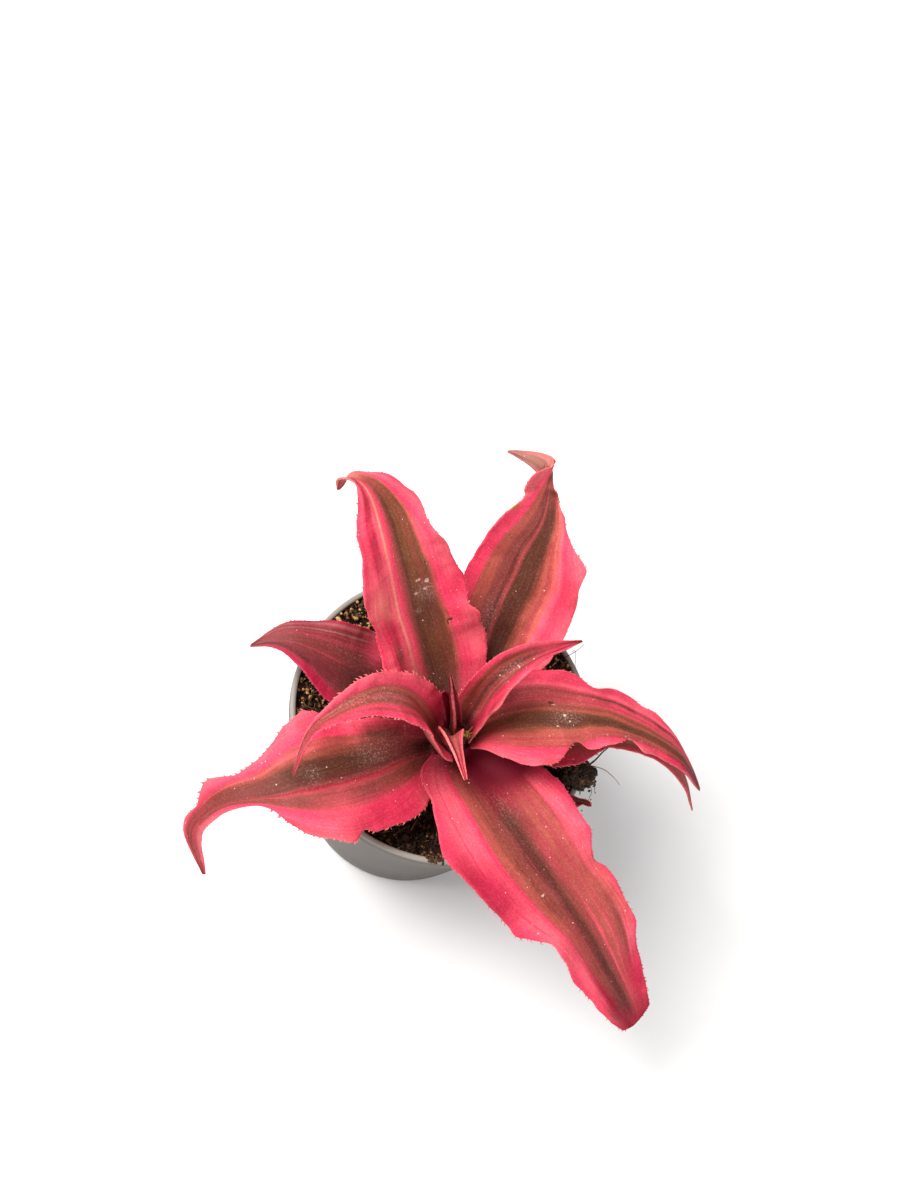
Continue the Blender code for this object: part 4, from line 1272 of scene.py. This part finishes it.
def turned(profile, sides):
    """A bmesh of a profile of (radius, height) points turned round Z. It starts and ends on the axis."""
    shape = bmesh.new()
    points = [shape.verts.new((radius, 0.0, height)) for radius, height in profile]
    edges = [shape.edges.new(pair) for pair in zip(points, points[1:])]
    bmesh.ops.spin(shape, geom=points + edges, axis=(0, 0, 1), cent=(0, 0, 0), angle=2 * pi, steps=sides)
    bmesh.ops.remove_doubles(shape, verts=shape.verts, dist=0.001)
    bmesh.ops.recalc_face_normals(shape, faces=shape.faces)
    return shape


def pot_profile():
    """The pot's section, from the middle of its foot up the outside, over the lip and down to its floor."""
    band_low = POT_HEIGHT - LIP_BAND
    inner_lip = RIM_RADIUS - LIP_WIDTH
    foot = (wall_radius(0) - FOOT_ROUND, FOOT_ROUND)
    outer = (RIM_RADIUS - LIP_ROUND, POT_HEIGHT - LIP_ROUND)
    inner = (inner_lip + LIP_ROUND, POT_HEIGHT - LIP_ROUND)
    outside = np.linspace(FOOT_ROUND + 0.6, band_low - 0.9, 9)
    inside = np.linspace(band_low, FLOOR + FLOOR_CURVE, 9)
    profile = [(0, FOOT_RECESS), (10, FOOT_RECESS)]
    profile += [(FOOT_RADIUS - FOOT_RING - 0.6, FOOT_RECESS - 0.05), (FOOT_RADIUS - FOOT_RING, 0.0)]
    profile += arc(foot, FOOT_ROUND, -90, -10, 6)
    profile += [(wall_radius(height), height) for height in outside]
    profile += [(wall_radius(band_low) - 0.05, band_low - 0.45), (RIM_RADIUS - 0.35, band_low - 0.15)]
    profile += [(RIM_RADIUS - 0.05, band_low + 0.2), (RIM_RADIUS, band_low + 0.6)]
    profile += arc(outer, LIP_ROUND, 0, 90, 6)
    profile += arc(inner, LIP_ROUND, 90, 180, 6)
    profile += [(inner_lip, band_low + 1.2), (inner_lip - 0.25, band_low + 0.7)]
    profile += [(wall_radius(height) - WALL, height) for height in inside]
    profile += [(wall_radius(FLOOR) - WALL - 0.7 * FLOOR_CURVE, FLOOR), (0, FLOOR)]
    return profile


def metres(shape):
    """Mesh of a bmesh in millimetres."""
    bmesh.ops.scale(shape, vec=(MM, MM, MM), verts=shape.verts)
    mesh = bpy.data.meshes.new("turned")
    shape.to_mesh(mesh)
    shape.free()
    return mesh


def make_pot(settings):
    """Nursery pot, turned and then drilled."""
    mesh = metres(turned(pot_profile(), settings.sides))
    mesh.shade_smooth()
    mesh.set_sharp_from_angle(angle=radians(50))
    blank = bpy.data.objects.new("blank_pot", mesh)
    bpy.context.scene.collection.objects.link(blank)
    drills = []
    for hole in range(DRAIN_HOLES):
        turn = 2 * pi * (hole + 0.5) / DRAIN_HOLES
        drum = turned([(0, -1), (DRAIN_RADIUS, -1), (DRAIN_RADIUS, FLOOR + 1), (0, FLOOR + 1)], 40)
        place = (DRAIN_CIRCLE * cos(turn), DRAIN_CIRCLE * sin(turn), 0)
        bmesh.ops.translate(drum, vec=place, verts=drum.verts)
        drills.append(bpy.data.objects.new(f"drain_drill_{hole}", metres(drum)))
        bpy.context.scene.collection.objects.link(drills[-1])
        cut = blank.modifiers.new("drain hole", "BOOLEAN")
        cut.operation = "DIFFERENCE"
        cut.object = drills[-1]
    bpy.context.view_layer.update()
    drilled = bpy.data.meshes.new_from_object(blank.evaluated_get(bpy.context.evaluated_depsgraph_get()))
    for helper in [blank, *drills]:
        bpy.data.objects.remove(helper)
    drilled.materials.clear()
    seat("nursery_pot", drilled, pot_finish(settings), "pot_plastic", "pot")


def hump(x, y, centre, height, spread):
    """Height at a place of a round hump, which falls off over about its spread."""
    return height * np.exp(-((x - centre[0]) ** 2 + (y - centre[1]) ** 2) / (2 * spread**2))


def mix_level(x, y):
    """Height of the potting mix, with its lumps, the mound round the stem and the heap by the rim."""
    lumps = np.sin(0.62 * x + 1.1) * np.cos(0.55 * y - 0.4)
    lumps = lumps + 0.6 * np.sin(1.15 * y + 0.5 * x)
    lumps = lumps + 0.4 * np.cos(1.4 * x - 0.9 * y)
    mound = hump(x, y, (STEM_X, STEM_Y), MOUND_HEIGHT, MOUND_SPREAD)
    bank = BANK_HEIGHT * np.clip((np.hypot(x, y) - BANK_START) / (RIM_RADIUS - BANK_START), 0, 1)
    bank = bank * (1 + BANK_LEAN * (y - x) / RIM_RADIUS)
    back = hump(x, y, BACK_HEAP, BACK_HEIGHT, BACK_SPREAD)
    return MIX_TOP + MIX_LUMP * lumps + mound + bank + back + hump(x, y, HEAP, HEAP_HEIGHT, HEAP_SPREAD)


def make_bed():
    """The body of the mix: a crumbly top over a plain plug that fills the pot."""
    rings = 54
    sides = 220
    turn = 2 * pi * np.arange(sides) / sides
    low = FLOOR + 0.3
    plug = [(MIX_EDGE * 0.55, low), (wall_radius(low) - WALL - 2.2, low)]
    for height in (low + 2.2, 0.5 * MIX_TOP, MIX_TOP - 2.4):
        plug.append((wall_radius(height) - WALL - PLUG_GAP, height))
    grid = [[(radius * cos(t), radius * sin(t), height) for t in turn] for radius, height in plug]
    for ring in range(rings):
        radius = MIX_EDGE * (1 - ring / rings)
        x, y = radius * np.cos(turn), radius * np.sin(turn)
        rough = [noise.fractal((px * 0.8, py * 0.8, 3.0), 0.8, 2.0, 4) for px, py in zip(x, y)]
        level = mix_level(x, y) - 0.55 + 0.45 * np.array(rough)
        grid.append(list(zip(x, y, level)))
    points = np.array(grid).reshape(-1, 3)
    middle = points[-sides:].mean(axis=0)
    shape = Shape()
    shape.add(np.vstack([points, (0, 0, low), middle]), band(len(grid), sides) + caps(len(grid), sides))
    shape.piece("mix_bed", bed_finish(), "mix", "potting_mix")


def bit_sizes(rng, count, crumb):
    """Half sizes of that many crumbs, flat chips and splinters, in millimetres, and how fresh each is."""
    kind = rng.uniform(size=count)
    body = crumb * np.exp(rng.normal(0, 0.35, count))
    width = body * rng.uniform(0.6, 1, count)
    thickness = body * rng.uniform(0.5, 0.9, count)
    sizes = np.stack([body, width, thickness], axis=1) * 0.5
    chip = kind > CHIPS_FROM
    flatter = np.stack([rng.uniform(least, most, count) for least, most in CHIP_SIZE], axis=1)
    sizes[chip] *= flatter[chip]
    splinter = kind > SPLINTERS_FROM
    sizes[splinter] *= SPLINTER_SIZE
    fresh = rng.beta(1.3, 2.6, count)
    fresh[splinter] = rng.uniform(0.5, 1.0, splinter.sum())
    return sizes, fresh


def turns(rng, count, tilt):
    """Random turns about the vertical, with each bit also tilted by up to about tilt radians."""
    yaw = rng.uniform(0, 2 * pi, count)
    lean = rng.normal(0, tilt, (count, 2))
    made = np.zeros((count, 3, 3))
    for index in range(count):
        turn = Matrix.Rotation(yaw[index], 3, "Z") @ Matrix.Rotation(lean[index, 0], 3, "X")
        made[index] = turn @ Matrix.Rotation(lean[index, 1], 3, "Y")
    return made


def add_bits(shape, rng, seats, sizes, fresh, rotations):
    """Adds bits, each cut from a ball of its own: where they sit, their half sizes, tones and turns."""
    points, faces = ball(1)
    count = len(seats)
    cut = points[None] * rng.uniform(0.6, 1.25, (count, len(points), 1))
    cut = cut * sizes[:, None, :]
    placed = np.einsum("nij,nkj->nki", rotations, cut) + np.asarray(seats)[:, None, :]
    step = len(points)
    all_faces = [[corner + step * index for corner in face] for index in range(count) for face in faces]
    shape.add(placed.reshape(-1, 3), all_faces, tone=np.repeat(fresh, step))


def make_bits(settings):
    """Crumbs, chips and splinters of bark over the whole of the mix."""
    rng = np.random.default_rng(11)
    count = settings.bits
    sizes, fresh = bit_sizes(rng, count, settings.crumb / MM)
    reach = sizes.max(axis=1)
    radius = np.sqrt(rng.uniform(0, 1, count)) * MIX_EDGE
    radius = np.minimum(radius, MIX_EDGE - 0.6 * reach)
    turn = rng.uniform(0, 2 * pi, count)
    x, y = radius * np.cos(turn), radius * np.sin(turn)
    clear = (x - STEM_X) ** 2 + (y - STEM_Y) ** 2 > (STEM_RADIUS + 0.4) ** 2
    # Painted light: bits towards the back left get brighter tones
    painted_light = np.clip(0.12 + PAINTED_LIGHT_PER_MM * (y - x), -0.05, 0.5)
    fresh = np.clip(fresh + painted_light * rng.uniform(0, 1.2, count), 0, 0.97)
    seats = np.stack([x, y, mix_level(x, y) + rng.uniform(-0.5, 0.35, count)], axis=1)
    shape = Shape(tone=1)
    add_bits(shape, rng, seats[clear], sizes[clear], fresh[clear], turns(rng, count, 0.45)[clear])
    shape.piece("mix_bits", bark_finish("bark"), "mix")


def loose_fibre(rng, x, y, long):
    """A few bent points of a fibre that lies about there."""
    heading = rng.uniform(0, 2 * pi)
    path = []
    for step in range(5):
        path.append((x, y, mix_level(x, y) + 0.35 + rng.uniform(-0.1, 0.4)))
        heading += rng.normal(0, 0.55)
        x += 0.25 * long * cos(heading)
        y += 0.25 * long * sin(heading)
    return path


def make_fibres(settings):
    """Coir and root fibres that lie among the bits."""
    rng = np.random.default_rng(12)
    shape = Shape(tone=1)
    edge = wall_radius(MIX_TOP + 1) - WALL - PLUG_GAP
    while len(shape.points) < settings.fibres:
        radius = sqrt(rng.uniform(0, 1)) * edge
        turn = rng.uniform(0, 2 * pi)
        path = loose_fibre(rng, radius * cos(turn), radius * sin(turn), rng.uniform(2.0, 5.5))
        if max(sqrt(x * x + y * y) for x, y, z in path) > edge:
            continue
        thick = rng.uniform(0.04, 0.11)
        points, faces = tube(curve_through(path, 12), np.linspace(thick, 0.5 * thick, 12), 5)
        # Painted light, as on the bits: fibres towards the back left get brighter tones
        painted_light = PAINTED_LIGHT_PER_MM * (path[0][1] - path[0][0])
        shape.add(points, faces, tone=np.clip(rng.uniform(0.3, 0.8) + painted_light, 0.1, 0.98))
    shape.piece("mix_fibres", bark_finish("coir"), "mix")


def make_granules():
    """Pale yellowish granules on the mix by the back left rim."""
    shape = Shape()
    rng = np.random.default_rng(13)
    template, faces = ball(3)
    for x, y, radius in GRANULES:
        lumps = np.array([noise.noise(Vector(point) * 1.3 + Vector((x, y, 0))) for point in template])
        points = template * (1 + 0.22 * lumps)[:, None] * radius * rng.uniform(0.8, 1.1, 3)
        shape.add(points + np.array([x, y, mix_level(x, y) + 0.5 * radius + 0.3]), faces)
    shape.piece("mix_granules", granule_finish(), "mix")


def make_clump(settings):
    """Clump of mix and root litter that lies on the rim, with bits all over it."""
    rng = np.random.default_rng(14)
    template, faces = ball(5)
    low, high = (np.array(corner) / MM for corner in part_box("mix_clump"))
    centre, half = 0.5 * (low + high) - (0.5, 0.2, 0.0), 0.5 * (high - low)
    points = []
    for x, y, z in template:
        lump = 1 + 0.14 * sin(5.1 * x + 1.3) * cos(4.3 * y) + 0.08 * sin(7 * y + 5 * x)
        crumbly = 1 + 0.3 * noise.fractal(Vector((x, y, z)) * 2.4, 0.7, 2.0, 4)
        flat = np.tanh(1.6 * z) / np.tanh(1.6)
        points.append(centre + half * 0.72 * crumbly * np.array((lump * x, lump * y, flat)))
    points = np.array(points)
    points[:, 2] = np.maximum(points[:, 2], POT_HEIGHT + 0.05)
    shape = Shape(tone=1)
    shape.add(points, faces, tone=0.3)
    count = settings.bits // 8
    sizes, fresh = bit_sizes(rng, count, settings.crumb / MM)
    seats = points[rng.integers(0, len(points), count)]
    keep = seats[:, 2] > POT_HEIGHT + 0.5
    add_bits(shape, rng, seats[keep], sizes[keep], 0.8 * fresh[keep], turns(rng, count, 0.6)[keep])
    shape.piece("rim_clump", bark_finish("clump_bark"), "mix", "mix_clump")


def make_litter():
    """Root strands and crumbs that lie on the rim and on the leaves, and the tuft beside the crown."""
    rng = np.random.default_rng(15)
    shape = Shape(tone=1)
    for path, thick, shade in STRANDS:
        points, faces = tube(curve_through(path, 24), np.linspace(thick, 0.45 * thick, 24), 7)
        shape.add(points, faces, tone=shade)
    crumbs = np.array(CRUMBS)
    half = crumbs[:, 3:4] * rng.uniform(0.6, 1.0, (len(crumbs), 3))
    add_bits(shape, rng, crumbs[:, :3], half, crumbs[:, 4], turns(rng, len(crumbs), 1.0))
    for x, y, z, wide, deep, high, count, shade in SPILLS:
        around = rng.normal(0, 0.45, (count, 2)).clip(-1, 1)
        rise = (1 - np.abs(around).max(axis=1)) * rng.uniform(0, 1, count)
        seats = np.stack([x + wide * around[:, 0], y + deep * around[:, 1], z + high * rise], axis=1)
        half = rng.uniform(0.25, 0.6, (count, 1)) * rng.uniform(0.6, 1.0, (count, 3))
        add_bits(shape, rng, seats, half, shade + rng.uniform(-0.25, 0.25, count), turns(rng, count, 1.0))
    shape.piece("root_litter", bark_finish("root"), "mix")


def make_stem():
    """Short stem, ringed by the scars and dry bases of old leaves."""
    profile = [(0, STEM_FOOT), (STEM_RADIUS * 0.8, STEM_FOOT)]
    for height in np.linspace(STEM_FOOT + 0.8, STEM_TOP - 0.6, 60):
        taper = np.interp(height, (STEM_SHOULDER - 1, STEM_SHOULDER + 3.5, STEM_TOP), (1.0, 0.5, 0.2))
        profile.append((STEM_RADIUS * taper * (1 + 0.05 * sin(2 * pi * height / SCAR_PITCH)), height))
    profile.append((0, STEM_TOP - 0.2))
    shape = turned(profile, 48)
    for point in shape.verts:
        turn = np.arctan2(point.co.y, point.co.x)
        swell = 1 + 0.06 * sin(5 * turn + 1.1 * point.co.z)
        point.co.x = point.co.x * swell + STEM_X
        point.co.y = point.co.y * swell + STEM_Y
    mesh = metres(shape)
    mesh.shade_smooth()
    seat("short_stem", mesh, stem_finish(), "stem", "stem")


# Stage


def area_light(name, place, size, power, colour):
    """A round, soft light that aims at the plant."""
    lamp = bpy.data.lights.new(name, "AREA")
    lamp.shape = "DISK"
    lamp.size = size
    lamp.energy = power
    lamp.color = colour
    made = bpy.data.objects.new(name, lamp)
    made.location = place
    made.rotation_euler = (Vector(LIGHT_AIM) - Vector(place)).to_track_quat("-Z", "Y").to_euler()
    bpy.context.scene.collection.objects.link(made)


def make_floor(settings):
    """Wide plain floor, which belongs to the stage and not to the plant."""
    shape = bmesh.new()
    bmesh.ops.create_grid(shape, x_segments=8, y_segments=8, size=FLOOR_REACH)
    mesh = bpy.data.meshes.new("studio_floor")
    shape.to_mesh(mesh)
    shape.free()
    mesh.materials.append(floor_finish(settings.floor))
    floor = bpy.data.objects.new("studio_floor", mesh)
    bpy.context.scene.collection.objects.link(floor)


def make_world(strength):
    """Even white light from all around."""
    world = bpy.data.worlds.new("studio_surroundings")
    world.use_nodes = True
    background = world.node_tree.nodes["Background"]
    background.inputs["Color"].default_value = (1.0, 1.0, 1.0, 1.0)
    background.inputs["Strength"].default_value = strength
    bpy.context.scene.world = world


def make_camera(lens):
    """Camera above the front of the pot, turned about its own axis."""
    height = radians(CAMERA_HEIGHT)
    roll = radians(CAMERA_ROLL)
    level = Vector((1, 0, 0))
    rising = Vector((0, sin(height), cos(height)))
    forward = Vector((0, cos(height), -sin(height)))
    right = cos(roll) * level + sin(roll) * rising
    up = cos(roll) * rising - sin(roll) * level
    camera = bpy.data.objects.new("camera", bpy.data.cameras.new("camera"))
    camera.data.lens = lens
    turn = Matrix((right, up, -forward)).transposed().to_4x4()
    camera.matrix_world = Matrix.Translation(MM * (Vector(CAMERA_AIM) - CAMERA_DISTANCE * forward)) @ turn
    camera.data.clip_start = 0.01
    bpy.context.scene.collection.objects.link(camera)
    bpy.context.scene.camera = camera


# Operators


class EARTHSTAR_OT_pot(bpy.types.Operator):
    """Turn the nursery pot and drill its drain holes"""

    bl_idname = "earth_star.pot"
    bl_label = "Nursery pot"

    def execute(self, context):
        make_pot(context.scene.earth_star_pot)
        return {"FINISHED"}


class EARTHSTAR_OT_mix(bpy.types.Operator):
    """Fill the pot with mix, bark bits, fibres and granules"""

    bl_idname = "earth_star.mix"
    bl_label = "Potting mix"

    def execute(self, context):
        make_bed()
        make_bits(context.scene.earth_star_mix)
        make_fibres(context.scene.earth_star_mix)
        make_granules()
        return {"FINISHED"}


class EARTHSTAR_OT_clump(bpy.types.Operator):
    """Lay the clump and the loose litter on the rim"""

    bl_idname = "earth_star.clump"
    bl_label = "Clump and litter"

    def execute(self, context):
        make_clump(context.scene.earth_star_mix)
        make_litter()
        return {"FINISHED"}


class EARTHSTAR_OT_stem(bpy.types.Operator):
    """Grow the short stem that carries the leaves"""

    bl_idname = "earth_star.stem"
    bl_label = "Stem"

    def execute(self, context):
        make_stem()
        return {"FINISHED"}


class EARTHSTAR_OT_leaves(bpy.types.Operator):
    """Grow every leaf of the rosette with its ruffled, spiny margins"""

    bl_idname = "earth_star.leaves"
    bl_label = "Leaves"

    def execute(self, context):
        for name, leaf in LEAVES.items():
            make_leaf(name, leaf, context.scene.earth_star_leaves)
        return {"FINISHED"}


class EARTHSTAR_OT_stage(bpy.types.Operator):
    """Set up the pale floor, the soft lights and the camera"""

    bl_idname = "earth_star.stage"
    bl_label = "Stage"

    def execute(self, context):
        settings = context.scene.earth_star_stage
        make_floor(settings)
        make_world(settings.daylight)
        for name, (place, size, colour) in LIGHTS.items():
            area_light(name + "_light", place, size, getattr(settings, name), colour)
        make_camera(settings.lens)
        context.scene.view_settings.view_transform = "Standard"
        return {"FINISHED"}


class EARTHSTAR_PT_panel(bpy.types.Panel):
    """Settings and steps of the plant"""

    bl_idname = "EARTHSTAR_PT_panel"
    bl_label = "Earth star"
    bl_space_type = "VIEW_3D"
    bl_region_type = "UI"
    bl_category = "Earth star"

    def draw(self, context):
        for operator, settings in PANEL_ROWS:
            box = self.layout.box()
            box.operator(operator.bl_idname)
            if settings:
                group = getattr(context.scene, settings)
                for name in group.bl_rna.properties.keys():
                    if name not in {"rna_type", "name"}:
                        box.prop(group, name)


SETTINGS = {
    "earth_star_pot": PotSettings,
    "earth_star_mix": MixSettings,
    "earth_star_leaves": LeafSettings,
    "earth_star_stage": StageSettings,
}
PANEL_ROWS = [
    (EARTHSTAR_OT_pot, "earth_star_pot"),
    (EARTHSTAR_OT_mix, "earth_star_mix"),
    (EARTHSTAR_OT_clump, None),
    (EARTHSTAR_OT_stem, None),
    (EARTHSTAR_OT_leaves, "earth_star_leaves"),
    (EARTHSTAR_OT_stage, "earth_star_stage"),
]
CLASSES = [*SETTINGS.values(), *(operator for operator, settings in PANEL_ROWS), EARTHSTAR_PT_panel]


def register():
    for made in CLASSES:
        bpy.utils.register_class(made)
    for name, group in SETTINGS.items():
        setattr(bpy.types.Scene, name, PointerProperty(type=group))


def unregister():
    for name in SETTINGS:
        delattr(bpy.types.Scene, name)
    for made in reversed(CLASSES):
        bpy.utils.unregister_class(made)


def main():
    """Builds the plant and its stage step by step."""
    register()
    bpy.ops.earth_star.pot()
    bpy.ops.earth_star.mix()
    bpy.ops.earth_star.clump()
    bpy.ops.earth_star.stem()
    bpy.ops.earth_star.leaves()
    bpy.ops.earth_star.stage()


if __name__ == "__main__":
    main()
